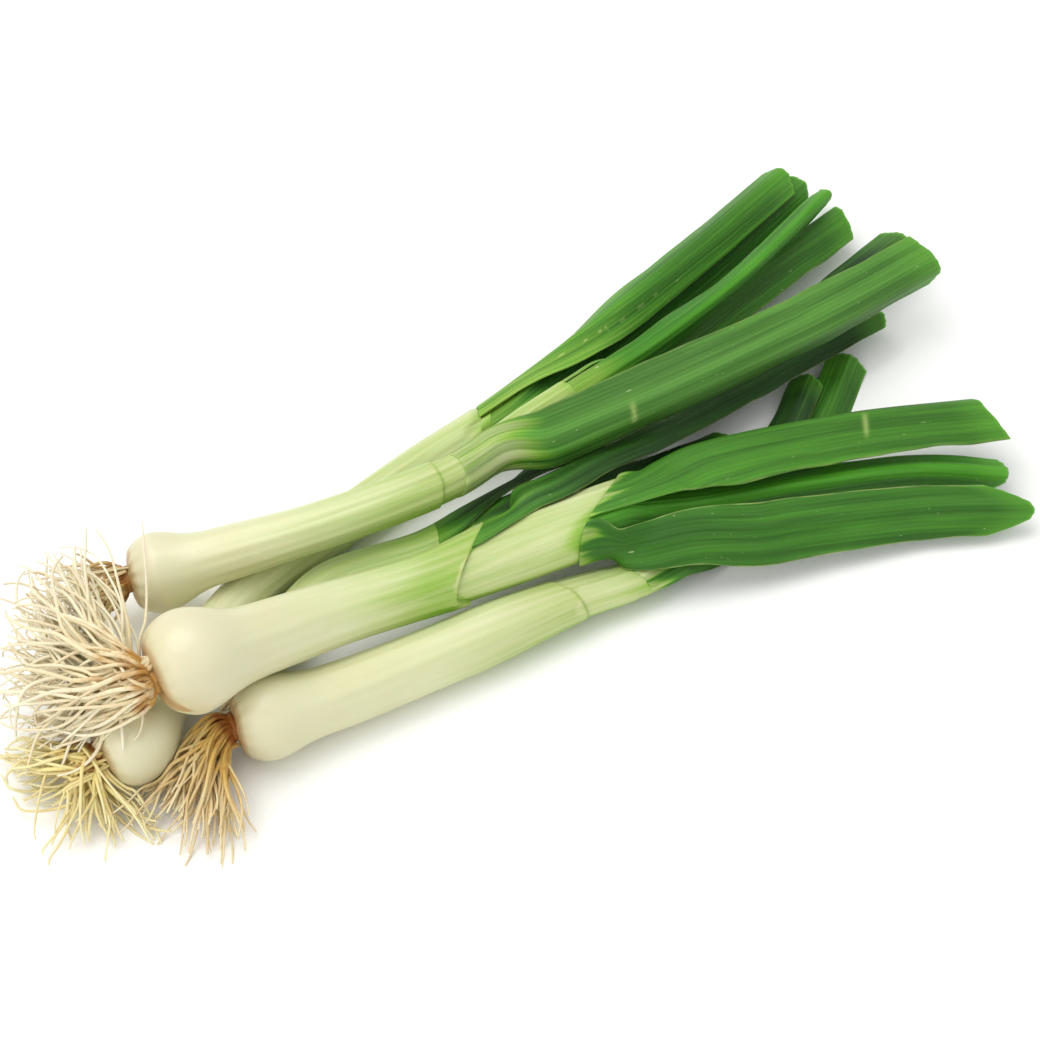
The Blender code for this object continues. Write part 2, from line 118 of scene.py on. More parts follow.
def catmull_rom(points: Array, density: int = 40) -> Array:
    """Return a dense smooth line through given points.

    Args:
        points: the places to pass, one row each.
        density: steps between two places.

    Returns:
        The places of the line, one row each.
    """
    pts = np.asarray(points, float)
    pts = np.vstack([2 * pts[0] - pts[1], pts, 2 * pts[-1] - pts[-2]])
    line = []
    for near in zip(pts, pts[1:], pts[2:], pts[3:]):
        knots = [0.0]
        for start, end in zip(near, near[1:]):
            knots.append(knots[-1] + math.sqrt(np.linalg.norm(end - start)))
        t = np.linspace(knots[1], knots[2], density, endpoint=False)[:, None]
        row = near
        for gap in (1, 2):
            row = [blend(t, knots[i], knots[i + gap], row[i], row[i + 1])
                   for i in range(4 - gap)]
        line.append(blend(t, knots[1], knots[2], row[0], row[1]))
    line.append(pts[-2][None, :])
    return np.vstack(line)


def smoothstep(x: Array) -> Array:
    """Return 0 below 0, 1 above 1 and a smooth rise between."""
    x = np.clip(x, 0.0, 1.0)
    return x * x * (3 - 2 * x)


def bell(x: Array, width: float) -> Array:
    """Return 1 where x is 0, falling off on both sides over about width."""
    return np.exp(-(x / width) ** 2)


def turn_from(degrees: Array, facing: float) -> Array:
    """Return angles as turns away from facing, between -180 and 180."""
    return (degrees - facing + 180.0) % 360.0 - 180.0


def unit(vectors: Array) -> Array:
    """Return the vectors at length 1."""
    vectors = np.asarray(vectors, float)
    return vectors / np.linalg.norm(vectors, axis=-1, keepdims=True)


def ripple(x: Array, seed: float, octaves: int = 4) -> Array:
    """Return an uneven wave between about -1 and 1, the same on every run.

    Args:
        x: where to read it, one unit to a wave.
        seed: picks the wave.
        octaves: how many finer waves are added.

    Returns:
        The wave at each x.
    """
    total = np.zeros_like(np.asarray(x, float))
    for octave in range(octaves):
        pace = 1.7 ** octave
        shift = 12.9898 * seed + 78.233 * octave
        total = total + np.sin(2 * math.pi * x * pace + shift) / 1.5 ** octave
    return total / 2.0


class Route:
    """A smooth line, read by the distance along it."""

    def __init__(self, points: Array) -> None:
        """Keep the line through points and the distance to each of its places.

        Args:
            points: the places to pass, one row each.
        """
        self.line = catmull_rom(points)
        steps = np.linalg.norm(np.diff(self.line, axis=0), axis=1)
        self.along = np.concatenate([[0.0], np.cumsum(steps)])
        self.length = float(self.along[-1])
        self.lead_in = unit(self.line[1] - self.line[0])
        self.lead_out = unit(self.line[-1] - self.line[-2])

    def point(self, s: Array) -> Array:
        """Return the places at distances along the line, straight on past either end.

        Args:
            s: the distances.

        Returns:
            The places.
        """
        s = np.asarray(s, float)
        inside = [np.interp(s, self.along, self.line[:, axis]) for axis in range(3)]
        before = np.minimum(s, 0.0)[..., None] * self.lead_in
        after = np.maximum(s - self.length, 0.0)[..., None] * self.lead_out
        return np.stack(inside, -1) + before + after

    def frame(self, s: Array) -> tuple[Array, Array, Array]:
        """Return the directions at distances along the line.

        Args:
            s: the distances.

        Returns:
            The forward, up and left directions.
        """
        s = np.asarray(s, float)
        forward = unit(self.point(s + 2.0) - self.point(s - 2.0))
        left = unit(np.cross(np.array([0.0, 0.0, 1.0]), forward))
        return forward, np.cross(forward, left), left


def linear(code: str) -> tuple[float, float, float, float]:
    """Return a colour as linear RGBA.

    Args:
        code: six hexadecimal digits.

    Returns:
        Red, green, blue and a full alpha.
    """
    parts = [int(code[i:i + 2], 16) / 255 for i in (0, 2, 4)]
    made = [p / 12.92 if p <= 0.04045 else ((p + 0.055) / 1.055) ** 2.4 for p in parts]
    return (made[0], made[1], made[2], 1.0)


class Tree:
    """Short calls that add nodes to a material."""

    def __init__(self, name: str) -> None:
        """Start a material.

        Args:
            name: the material's name.
        """
        self.material = bpy.data.materials.new(name)
        self.material.use_nodes = True
        self.nodes = self.material.node_tree.nodes
        self.links = self.material.node_tree.links

    def feed(self, node: bpy.types.Node, inputs: dict[object, object]) -> None:
        """Link or set inputs of a node.

        Args:
            node: the node.
            inputs: input name or number to a socket, a number, a colour or a vector.
        """
        for key, value in inputs.items():
            if isinstance(value, Socket):
                self.links.new(value, node.inputs[key])
            else:
                node.inputs[key].default_value = value

    def add(self, kind: str, inputs: dict[object, object], **settings: object) -> bpy.types.Node:
        """Add a node.

        Args:
            kind: the node's type after ShaderNode.
            inputs: what its inputs get.
            settings: what its own fields get.

        Returns:
            The new node.
        """
        node = self.nodes.new(f"ShaderNode{kind}")
        for key, value in settings.items():
            setattr(node, key, value)
        self.feed(node, inputs)
        return node

    def attribute(self, name: str, output: str = "Fac") -> Socket:
        """Return an output of the attribute of this name."""
        return self.add("Attribute", {}, attribute_name=name).outputs[output]

    def place(self) -> Socket:
        """Return the object's own coordinates."""
        return self.add("TexCoord", {}).outputs["Object"]

    def noise(self, vector: Socket, scale: float, detail: float = 3.0,
              roughness: float = 0.55) -> Socket:
        """Return noise between 0 and 1."""
        return self.add("TexNoise", {"Vector": vector, "Scale": scale, "Detail": detail,
                                     "Roughness": roughness}).outputs["Fac"]

    def grainy(self, stretch: Pair, shift: float, scale: float = 1.0,
               detail: float = 3.0, roughness: float = 0.55) -> Socket:
        """Return noise that is drawn out along the grain.

        Args:
            stretch: how fast it changes across the grain and along it.
            shift: moves it away from other noises.
            scale: the noise's own scale.
            detail: how many finer layers it has.
            roughness: how strong those are.

        Returns:
            The noise, between 0 and 1.
        """
        across, along = stretch
        moved = {"Vector": self.attribute("grain", "Vector"), "Scale": (across, across, along),
                 "Location": (shift, shift * 0.7, shift * 1.3)}
        return self.noise(self.add("Mapping", moved).outputs["Vector"], scale, detail, roughness)

    def math(self, operation: str, first: object, second: object = 0.0,
             clamp: bool = False) -> Socket:
        """Return first and second put through a math node."""
        return self.add("Math", {0: first, 1: second}, operation=operation,
                        use_clamp=clamp).outputs[0]

    def times(self, first: object, second: object) -> Socket:
        """Return the product of two values."""
        return self.math("MULTIPLY", first, second)

    def spread(self, value: object, low: float, high: float, to_low: float = 0.0,
               to_high: float = 1.0) -> Socket:
        """Return value mapped from low..high to to_low..to_high, clamped."""
        return self.add("MapRange", {"Value": value, "From Min": low, "From Max": high,
                                     "To Min": to_low, "To Max": to_high}).outputs["Result"]

    def mix(self, share: object, first: object, code: str, blend_type: str = "MIX") -> Socket:
        """Return a colour with another one, given by its code, mixed in by share."""
        return self.add("Mix", {"Factor": share, 6: first, 7: linear(code)}, data_type="RGBA",
                        blend_type=blend_type).outputs[2]

    def ramp(self, value: object, stops: list[tuple[float, str]]) -> Socket:
        """Return a colour picked by value.

        Args:
            value: the place in the ramp.
            stops: places and their colour codes.

        Returns:
            The colour.
        """
        node = self.add("ValToRGB", {"Fac": value})
        band = node.color_ramp
        while len(band.elements) < len(stops):
            band.elements.new(0.5)
        for element, (place, code) in zip(band.elements, stops):
            element.position = place
            element.color = linear(code)
        return node.outputs["Color"]

    def bump(self, height: Socket, distance: float, strength: float,
             under: Optional[Socket] = None) -> Socket:
        """Return a bumped normal.

        Args:
            height: the height of the surface, from 0 to 1.
            distance: what 1 stands for, in metres.
            strength: how strong the bump is.
            under: another bump, which this one lies on.

        Returns:
            The normal.
        """
        inputs = {"Distance": distance, "Strength": strength, "Height": height}
        if under is not None:
            inputs["Normal"] = under
        return self.add("Bump", inputs).outputs["Normal"]

    def painted(self, inputs: dict[object, object]) -> bpy.types.Material:
        """Return the material with inputs fed to its Principled BSDF."""
        self.feed(self.nodes["Principled BSDF"], inputs)
        return self.material


# Place in the growth ramp, from the bulb's base to the tip of a leaf, and its colour.
GROWTH = [
    (0.00, "D4C89C"),
    (0.08, "DFDAB8"),
    (0.20, "DCDEB2"),
    (0.30, "CBD69A"),
    (0.40, "B0C873"),
    (0.48, "98BE4E"),
    (0.56, "7CB236"),
    (0.68, "529A28"),
    (0.82, "458820"),
    (1.00, "33711A"),
]


@dataclass(frozen=True)
class SkinFinish:
    """Moist smooth skin of a bulb and its shank, white to pale green with fine veins."""

    name: str = "onion_skin"
    vein_pitch: float = 0.9
    roughness: float = 0.34

    def make(self) -> bpy.types.Material:
        """Make the material.

        Returns:
            The material.
        """
        tree = Tree(self.name)
        growth = tree.attribute("growth")
        veins = tree.grainy((1.0, 0.018), 0.0, self.vein_pitch, 4.0, 0.6)
        broad = tree.grainy((0.22, 0.012), 4.0)
        cloud = tree.grainy((0.06, 0.03), 9.0)
        shift = tree.times(tree.spread(veins, 0.3, 0.7, -0.5, 0.5), 0.06)
        wide = tree.times(tree.spread(broad, 0.3, 0.7, -0.5, 0.5), 0.16)
        growing = tree.spread(growth, 0.12, 0.4, 0.05, 1.0)
        moved = tree.times(tree.math("ADD", shift, wide), growing)
        colour = tree.ramp(tree.math("ADD", growth, moved, clamp=True), GROWTH)
        pearl = tree.mix(tree.spread(cloud, 0.35, 0.7, 0.0, 0.3), colour, "E2DDBB", "MULTIPLY")
        line = tree.times(tree.spread(veins, 0.50, 0.64, 0.0, 0.15), growing)
        veined = tree.mix(line, pearl, "C9D890", "MULTIPLY")
        papery = tree.mix(tree.times(tree.attribute("rim"), 0.6), veined, "8FAE3E")
        soiled = tree.math("ADD", tree.attribute("soil"), tree.times(veins, 0.4))
        stained = tree.mix(tree.spread(soiled, 0.5, 1.3, 0.0, 0.9), papery, "B58A4C")
        return tree.painted({
            "Base Color": stained,
            "Roughness": tree.spread(cloud, 0.3, 0.7, self.roughness - 0.06,
                                     self.roughness + 0.12),
            "Subsurface Weight": 0.18, "Subsurface Scale": 0.004,
            "Specular IOR Level": 0.45, "Coat Weight": 0.08, "Coat Roughness": 0.25,
            "Normal": tree.bump(broad, 0.0003, 0.3, tree.bump(veins, 0.0002, 0.4)),
        })


class Tone(Enum):
    """How a leaf's green leans: the share mixed in and the colour. The near-black tone is painted
    shade for leaves that lie in shadow.
    """

    # Painted shade: a near-black green for leaves and leaf ends that lie in shadow under the
    # others.
    SHADED = (0.85, "16300E")
    DEEP = (0.50, "3A6E1E")
    BLUISH = (0.6, "699A46")
    PLAIN = (0.35, "528C1E")
    FRESH = (0.6, "4CA018")


@dataclass(frozen=True)
class LeafFinish:
    """Waxy ribbed leaf: lengthwise ribs, a pale margin and a fresh cut end."""

    tone: Tone
    rib_pitch: float = 1.35
    roughness: float = 0.46

    def make(self) -> bpy.types.Material:
        """Make the material.

        Returns:
            The material.
        """
        share, code = self.tone.value
        tree = Tree(f"leaf_{self.tone.name.lower()}")
        growth = tree.attribute("growth")
        across = tree.add("SeparateXYZ", {0: tree.attribute("grain", "Vector")}).outputs[0]
        drift = tree.grainy((0.3, 0.01), 0.0, 1.0, 2.0)
        turn = tree.times(across, 2 * math.pi / self.rib_pitch)
        bent = tree.math("ADD", turn, tree.times(drift, 9.0))
        rib = tree.spread(tree.math("SINE", bent), -1.0, 1.0)
        streak = tree.grainy((1.0, 0.012), 3.0, 1.6, 5.0, 0.65)
        cloud = tree.grainy((0.30, 0.009), 7.0)
        fleck = tree.grainy((1.2, 0.35), 2.0, 1.0, 2.0, 0.5)
        patch = tree.grainy((0.10, 0.02), 5.0)
        shift = tree.times(tree.spread(streak, 0.3, 0.7, -0.5, 0.5), 0.20)
        both = tree.math("ADD", shift, tree.spread(patch, 0.3, 0.7, -0.08, 0.08))
        base = tree.ramp(tree.math("ADD", growth, both, clamp=True), GROWTH)
        # Each tone's colour is mixed in towards the tip; for the near-black tone this is painted
        # shade.
        varied = tree.spread(patch, 0.35, 0.65, 0.75 * share, share)
        toned = tree.mix(tree.times(tree.spread(growth, 0.5, 0.85), varied), base, code)
        ribbed = tree.times(rib, tree.spread(drift, 0.35, 0.65, 0.04, 0.34))
        dark = tree.mix(ribbed, toned, "A5B58A", "MULTIPLY")
        light = tree.mix(tree.times(tree.spread(streak, 0.55, 0.75), 0.3), dark, "7DB05C")
        patchy = tree.mix(tree.spread(cloud, 0.4, 0.62, 0.0, 0.6), light, "7F9C70", "MULTIPLY")
        specks = tree.mix(tree.spread(fleck, 0.74, 0.80, 0.0, 0.55), patchy, "C4CFA0")
        cut = tree.mix(tree.attribute("fresh"), specks, "6CB838")
        return tree.painted({
            "Base Color": tree.mix(tree.attribute("rim"), cut, "BCD07A"),
            "Roughness": tree.spread(streak, 0.3, 0.7, self.roughness - 0.07,
                                     self.roughness + 0.12),
            "Specular IOR Level": 0.3, "Subsurface Weight": 0.06, "Subsurface Scale": 0.0015,
            "Normal": tree.bump(streak, 0.00025, 0.5, tree.bump(rib, 0.0002, 0.35)),
        })


@dataclass(frozen=True)
class RootFinish:
    """Matte root strands that darken towards the basal plate."""

    name: str
    plate: str
    strand: str
    tip: str

    def make(self) -> bpy.types.Material:
        """Make the material.

        Returns:
            The material.
        """
        tree = Tree(self.name)
        cloud = tree.noise(tree.place(), 180.0, 4.0)
        grit = tree.noise(tree.place(), 1400.0, 3.0)
        moved = tree.math("ADD", tree.attribute("growth"),
                          tree.spread(cloud, 0.3, 0.7, -0.12, 0.12), clamp=True)
        colour = tree.ramp(moved, [(0.0, self.plate), (0.10, self.plate), (0.32, self.strand),
                                   (1.0, self.tip)])
        varied = tree.mix(tree.spread(tree.attribute("tint"), 0.0, 1.0, 0.0, 0.35), colour,
                          "D0AE68", "MULTIPLY")
        gritty = tree.mix(tree.spread(grit, 0.55, 0.75, 0.0, 0.3), varied, "A8834A", "MULTIPLY")
        return tree.painted({
            "Base Color": gritty, "Roughness": tree.spread(cloud, 0.3, 0.7, 0.5, 0.7),
            "Subsurface Weight": 0.12, "Subsurface Scale": 0.0008,
            "Normal": tree.bump(grit, 0.0001, 0.5),
        })


@dataclass(frozen=True)
class FloorFinish:
    """Plain pale floor."""

    colour: str = "FCFCFA"

    def make(self) -> bpy.types.Material:
        """Make the material.

        Returns:
            The material.
        """
        tree = Tree("pale_floor")
        faint = tree.spread(tree.noise(tree.place(), 3.0), 0.3, 0.7, 0.0, 0.02)
        return tree.painted({"Base Color": tree.mix(faint, linear(self.colour), "F2F2EE"),
                             "Roughness": 0.7})


@dataclass
class Sheet:
    """Places of a grid, with what its material reads at each."""

    places: Array
    values: dict[str, Array]


def in_frame(places: Array) -> Array:
    """Return places of the plan in metres in the frame."""
    return (places - CENTRE) * MM


def linked(name: str, mesh: bpy.types.Mesh, material: bpy.types.Material) -> bpy.types.Object:
    """Link a mesh to the scene.

    Args:
        name: the object's name.
        mesh: its mesh.
        material: its finish.

    Returns:
        The new object, at the origin.
    """
    mesh.shade_smooth()
    mesh.materials.append(material)
    piece = bpy.data.objects.new(name, mesh)
    bpy.context.scene.collection.objects.link(piece)
    return piece


def mesh_object(name: str, vertices: Array, faces: list[tuple[int, ...]],
                values: dict[str, Array], material: bpy.types.Material) -> bpy.types.Object:
    """Link a closed mesh with its attributes as one piece.

    Args:
        name: the piece's name.
        vertices: places of the plan, one row each.
        faces: vertex indices of each face.
        values: attribute name to one number or vector a vertex.
        material: the piece's finish.

    Returns:
        The new object.
    """
    mesh = bpy.data.meshes.new(name)
    mesh.from_pydata([tuple(place) for place in in_frame(vertices).tolist()], [], faces)
    for key, data in values.items():
        kind, slot = ("FLOAT_VECTOR", "vector") if data.ndim == 2 else ("FLOAT", "value")
        layer = mesh.attributes.new(key, kind, "POINT")
        layer.data.foreach_set(slot, np.ascontiguousarray(data, np.float32).ravel())
    made = bmesh.new()
    made.from_mesh(mesh)
    bmesh.ops.recalc_face_normals(made, faces=made.faces)
    made.to_mesh(mesh)
    made.free()
    return linked(name, mesh, material)


def grid_normals(places: Array) -> Array:
    """Return the normals of a grid of places."""
    return unit(np.cross(np.gradient(places, axis=0), np.gradient(places, axis=1)))


def pairs(ring: list[int]) -> list[tuple[int, int]]:
    """Return each vertex of a closed ring with the one after it."""
    return list(zip(ring, ring[1:] + ring[:1]))


def capped(grid: Array) -> Array:
    """Return a grid's values in one row, with the mean of its first and last ring added."""
    flat = grid.reshape((-1,) + grid.shape[2:])
    return np.concatenate([flat, [grid[0].mean(0), grid[-1].mean(0)]])


def ring_faces(rings: int, sides: int) -> list[tuple[int, ...]]:
    """Return the faces between rings of vertices.

    Args:
        rings: how many rings follow one another.
        sides: how many vertices each has.

    Returns:
        Four vertex indices for each face.
    """
    index = np.arange(rings * sides).reshape(rings, sides)
    after = np.roll(index, -1, axis=1)
    corners = (index[:-1], after[:-1], after[1:], index[1:])
    return list(zip(*(corner.ravel().tolist() for corner in corners)))


def shell(name: str, sheet: Sheet, thick: Array,
          material: bpy.types.Material) -> bpy.types.Object:
    """Link a sheet as a closed blade with its own thickness at each place.

    Args:
        name: the piece's name.
        sheet: the middle surface.
        thick: thickness at each place, in millimetres.
        material: the piece's finish.

    Returns:
        The new object.
    """
    half = grid_normals(sheet.places) * (thick / 2)[..., None]
    both = np.concatenate([(sheet.places + half).reshape(-1, 3),
                           (sheet.places - half).reshape(-1, 3)])
    both[:, 2] = np.maximum(both[:, 2], LEAF_HEIGHT)
    index = np.arange(thick.size).reshape(thick.shape)
    corners = [index[:-1, :-1], index[:-1, 1:], index[1:, 1:], index[1:, :-1]]
    upper = list(zip(*(corner.ravel().tolist() for corner in corners)))
    lower = list(zip(*((corner + thick.size).ravel().tolist() for corner in corners[::-1])))
    edge = np.concatenate([index[0, :-1], index[:-1, -1], index[-1, :0:-1], index[:0:-1, 0]])
    sides = [(start, start + thick.size, end + thick.size, end)
             for start, end in pairs(edge.tolist())]
    flat = {}
    for key, data in sheet.values.items():
        flat[key] = np.tile(data.reshape(-1, 3), (2, 1)) if data.ndim == 3 \
            else np.tile(data.reshape(-1), 2)
    return mesh_object(name, both, upper + lower + sides, flat, material)


@dataclass
class Leaf:
    """One leaf: where it leaves the sheath, the keel of its blade and its cut end."""

    start: float
    facing: float
    keel: list[Triple]
    widths: Pair
    roll: float
    fold: float
    tone: Tone = Tone.PLAIN
    layer: int = 0
    columns: int = 6
    hold: float = 6.0
    opening: float = 26.0
    turning: float = 70.0
    skew: float = 0.0
    rounding: float = 3.0
    taper: float = 0.85
    waist: float = 1.0
    green: Pair = (2.0, 40.0)
    base_growth: float = 0.5
    tip_growth: float = 0.9
    wave: float = 0.5
    ribs: float = 0.06
    margin: float = 0.3
    marks: list[Pair] = field(default_factory=list)
    dashes: list[Triple] = field(default_factory=list)


@dataclass
class Tuft:
    """Roots of one plant: how many strands, where their tips lie and how they spread."""

    count: int
    tips: list[Triple]
    seed: int
    finish: RootFinish
    spread: float = 75.0
    scatter: float = 5.0
    short: float = 0.6
    thick: Pair = (0.50, 0.78)
    loose: float = 0.16
    strays: list[Triple] = field(default_factory=list)


class Obstacles:
    """The shanks that strands keep out of."""

    def __init__(self, shanks: list[bpy.types.Object]) -> None:
        """Keep one search tree of all the shanks' faces.

        Args:
            shanks: the finished pieces.
        """
        vertices: list[Vector] = []
        faces: list[list[int]] = []
        for piece in shanks:
            start = len(vertices)
            vertices += [v.co.copy() for v in piece.data.vertices]
            faces += [[start + i for i in face.vertices] for face in piece.data.polygons]
        self.tree = BVHTree.FromPolygons(vertices, faces)

    def pushed_out(self, place: Array) -> Array:
        """Move a place out of the shanks and up off the floor.

        Args:
            place: a place of the plan.

        Returns:
            The nearest free place.
        """
        spot = Vector(in_frame(place))
        near, normal, _, _ = self.tree.find_nearest(spot)
        away = spot - near
        gap = -away.length / MM if away.dot(normal) < 0 else away.length / MM
        if gap < STRAND_CLEARANCE:
            place = np.array(near + normal * STRAND_CLEARANCE * MM) / MM + CENTRE
        place[2] = max(place[2], STRAND_HEIGHT)
        return place


@dataclass
class Plant:
    """One onion: its middle line, radii, seams, leaves, roots and colouring."""

    name: str
    line: list[Triple]
    bulb: float
    neck: float
    shank: float
    collar: Pair
    length: float
    leaves: list[Leaf]
    tuft: Tuft
    slant: float = 0.0
    slant_facing: float = 90.0
    slant_at: float = 120.0
    scar: float = 0.0
    seam: float = 0.0
    tints: list[Pair] = field(default_factory=list)
    route: Route = field(init=False)

    def __post_init__(self) -> None:
        """Make the middle line."""
        self.route = Route(np.array(self.line, float))

    def radius(self, s: Array) -> Array:
        """Return the outer radius of the round part.

        Args:
            s: distances from the basal plate.

        Returns:
            The radius at each.
        """
        x = s / self.bulb
        falling = bell(np.maximum(x - 0.7, 0.0), 0.8)
        lower = self.neck + (self.bulb - self.neck) * falling
        shut = 1.0 - np.clip(x / 0.75, -1.0, 1.0)
        closing = 0.36 + 0.64 * np.sqrt(np.maximum(0.0, 1.0 - shut ** 2))
        slim = smoothstep((s - 2.2 * self.bulb) / (2.5 * self.bulb))
        return (lower * (1 - slim) + self.shank * slim) * closing

    def warp(self, s: Array, degrees: Array) -> Array:
        """Return the distances s moved so that seams slant round the shank."""
        near = np.exp(-((s - self.slant_at) / SLANT_REACH) ** 4)
        return s + self.slant * near * np.cos(np.radians(degrees - self.slant_facing))

    def skin(self, s: Array, degrees: Array, depth: Array) -> Array:
        """Return places under the shank's outer surface.

        Args:
            s: distances from the basal plate.
            degrees: angles round the shank.
            depth: how deep each lies.

        Returns:
            The places.
        """
        _, up, left = self.route.frame(s)
        angle = np.radians(degrees)
        opening = smoothstep((s - self.slant_at + 50.0) / 45.0)
        wide = self.radius(s) * (1 - opening) + self.collar[0] * opening
        high = self.radius(s) * (1 - opening) + self.collar[1] * opening
        reach = wide * high / np.hypot(high * np.sin(angle), wide * np.cos(angle))
        outward = up * np.cos(angle)[..., None] + left * np.sin(angle)[..., None]
        return self.route.point(s) + outward * (reach - depth)[..., None]

    def steps(self) -> list[Pair]:
        """Return where the sheaths end.

        Returns:
            The distance of each end, with the depth below the skin after it.
        """
        marks = [(self.scar, SCAR_DEPTH)] if self.scar else []
        for leaf in sorted(self.leaves, key=lambda item: item.start):
            marks.append((leaf.start, LAYER * (leaf.layer + 1)))
        return marks

    def growth_at(self, s: Array, degrees: Array) -> Array:
        """Return the place in the growth ramp, with painted shade added on the lower front flank.

        Args:
            s: distances from the basal plate.
            degrees: angles round the shank.

        Returns:
            The place in the ramp at each.
        """
        stations = [at for at, _ in self.tints]
        values = [value for _, value in self.tints]
        uneven = 4.0 * ripple(np.asarray(degrees) / 130.0, self.tuft.seed, 3)
        # Painted shade: the lower front flank of the shank is pushed along the ramp, greener and
        # darker.
        flank = FLANK_SHADE * bell(turn_from(degrees, FLANK_FACING), FLANK_WIDTH) \
            * smoothstep((s - 50.0) / 40.0)
        return np.interp(s + uneven, stations, values) + flank

    def flap(self, degrees: Array) -> Array:
        """Return where round the shank the seam's sheath ends in a papery flap, from 0 to 1."""
        return bell(turn_from(degrees, FLAP_FACING), FLAP_WIDTH) * bool(self.seam)

    def torn(self, degrees: Array) -> Array:
        """Return how far a sheath's torn end runs ahead.

        Args:
            degrees: angles round the shank.

        Returns:
            The distance at each.
        """
        turn, seed = np.radians(degrees), self.tuft.seed
        return 0.25 * np.sin(2 * turn + seed) + 0.12 * np.sin(5 * turn + 2 * seed) \
            + FLAP_LENGTH * self.flap(degrees)

    def level_at(self, at: float, deep: float, degrees: Array) -> Array:
        """Return the depth of a sheath's end: flush with the leaves that start there.

        Args:
            at: where the sheath ends.
            deep: the depth after its end.
            degrees: angles round the shank.

        Returns:
            The depth at each angle.
        """
        level = np.full_like(degrees, deep)
        for leaf in self.leaves:
            if leaf.start == at:
                away = np.abs(turn_from(degrees, leaf.facing))
                covered = smoothstep((leaf.columns / 2 * SIDE_STEP + 6.0 - away) / 8.0)
                level = level - np.maximum(level - LAYER * leaf.layer, 0.0) * covered
        return level

    def shank_sheet(self) -> Sheet:
        """Lay out the shank's skin, with its seams as lips.

        Returns:
            The skin as a grid that closes round the shank.
        """
        foot = self.bulb * 0.75
        stations = np.concatenate([np.linspace(0.0, 1.0, 16) ** 1.8 * foot,
                                   np.arange(foot + RING_PITCH, self.length - 4.0, RING_PITCH)])
        for at, _ in self.steps():
            stations = stations[np.abs(stations - at) > 2.9]
            stations = np.concatenate([stations, at + SEAM_RINGS])
        bend = np.sin(np.linspace(0.0, math.pi / 2, 9))
        tail = self.length - END_LENGTH + END_LENGTH * bend
        before = stations[stations < self.length - END_LENGTH - 0.1]
        stations = np.sort(np.concatenate([before, tail]))
        ending = np.clip((stations - self.length + END_LENGTH) / END_LENGTH, 0.0, 1.0)
        ends = 1.0 - 0.75 * ending ** 0.7
        degrees = np.arange(SHANK_SIDES) * 360.0 / SHANK_SIDES
        s, turn = np.meshgrid(stations, degrees, indexing="ij")
        depth = np.zeros_like(s)
        rim = np.zeros_like(s)
        near_step = np.zeros_like(s)
        for at, deep in self.steps():
            real = at in (self.scar, self.seam)
            thinning = 0.0 if real else smoothstep((s - at + 7.0) / 7.0)
            level = depth + np.maximum(self.level_at(at, deep, turn) - depth, 0.0) * thinning
            depth = np.where(s > at + 0.05, np.maximum(depth, deep), level)
            rim = np.maximum(rim, real * bell(s - at - 0.1, 0.6))
        for where in (self.scar, self.seam):
            near_step = np.maximum(near_step, bell(s - where, TORN_REACH))
        at = self.warp(s, turn) + self.torn(turn) * near_step
        angle = np.radians(turn)
        shape = 0.10 * np.sin(9 * angle + 0.02 * s) + 0.07 * np.sin(17 * angle + 1.0 - 0.03 * s)
        shape = shape * smoothstep((s - self.bulb) / 20.0)
        crease = 0.4 * bell(s, 3.2) * np.cos(14 * angle)
        skin = self.skin(at, turn, depth - shape - crease * (s > 0.5))
        middle = self.route.point(at)
        places = middle + (skin - middle) * ends[:, None, None]
        places[..., 2] = np.maximum(places[..., 2], 0.0)
        papery = self.flap(turn) * smoothstep((s - self.seam + 7.0) / 4.0) * (s < self.seam)
        return Sheet(places, {
            "growth": self.growth_at(s, turn) * (1.0 - 0.45 * papery),
            "rim": rim,
            "soil": 0.8 * bell(s, 1.6) + 0.12 * bell(s, 4.5),
            "grain": np.stack([self.shank * np.cos(angle), self.shank * np.sin(angle), s], -1),
        })

    def build_shank(self, finish: bpy.types.Material) -> bpy.types.Object:
        """Build the bulb, neck and rolled stem as one piece.

        Args:
            finish: the skin's finish.

        Returns:
            The new object.
        """
        sheet = self.shank_sheet()
        rows, columns, _ = sheet.places.shape
        count = rows * columns
        faces = ring_faces(rows, columns)
        faces += [(count, end, start) for start, end in pairs(list(range(columns)))]
        faces += [(count + 1, start, end)
                  for start, end in pairs(list(range(count - columns, count)))]
        values = {key: capped(data) for key, data in sheet.values.items()}
        return mesh_object(f"{self.name}_skin", capped(sheet.places), faces, values, finish)

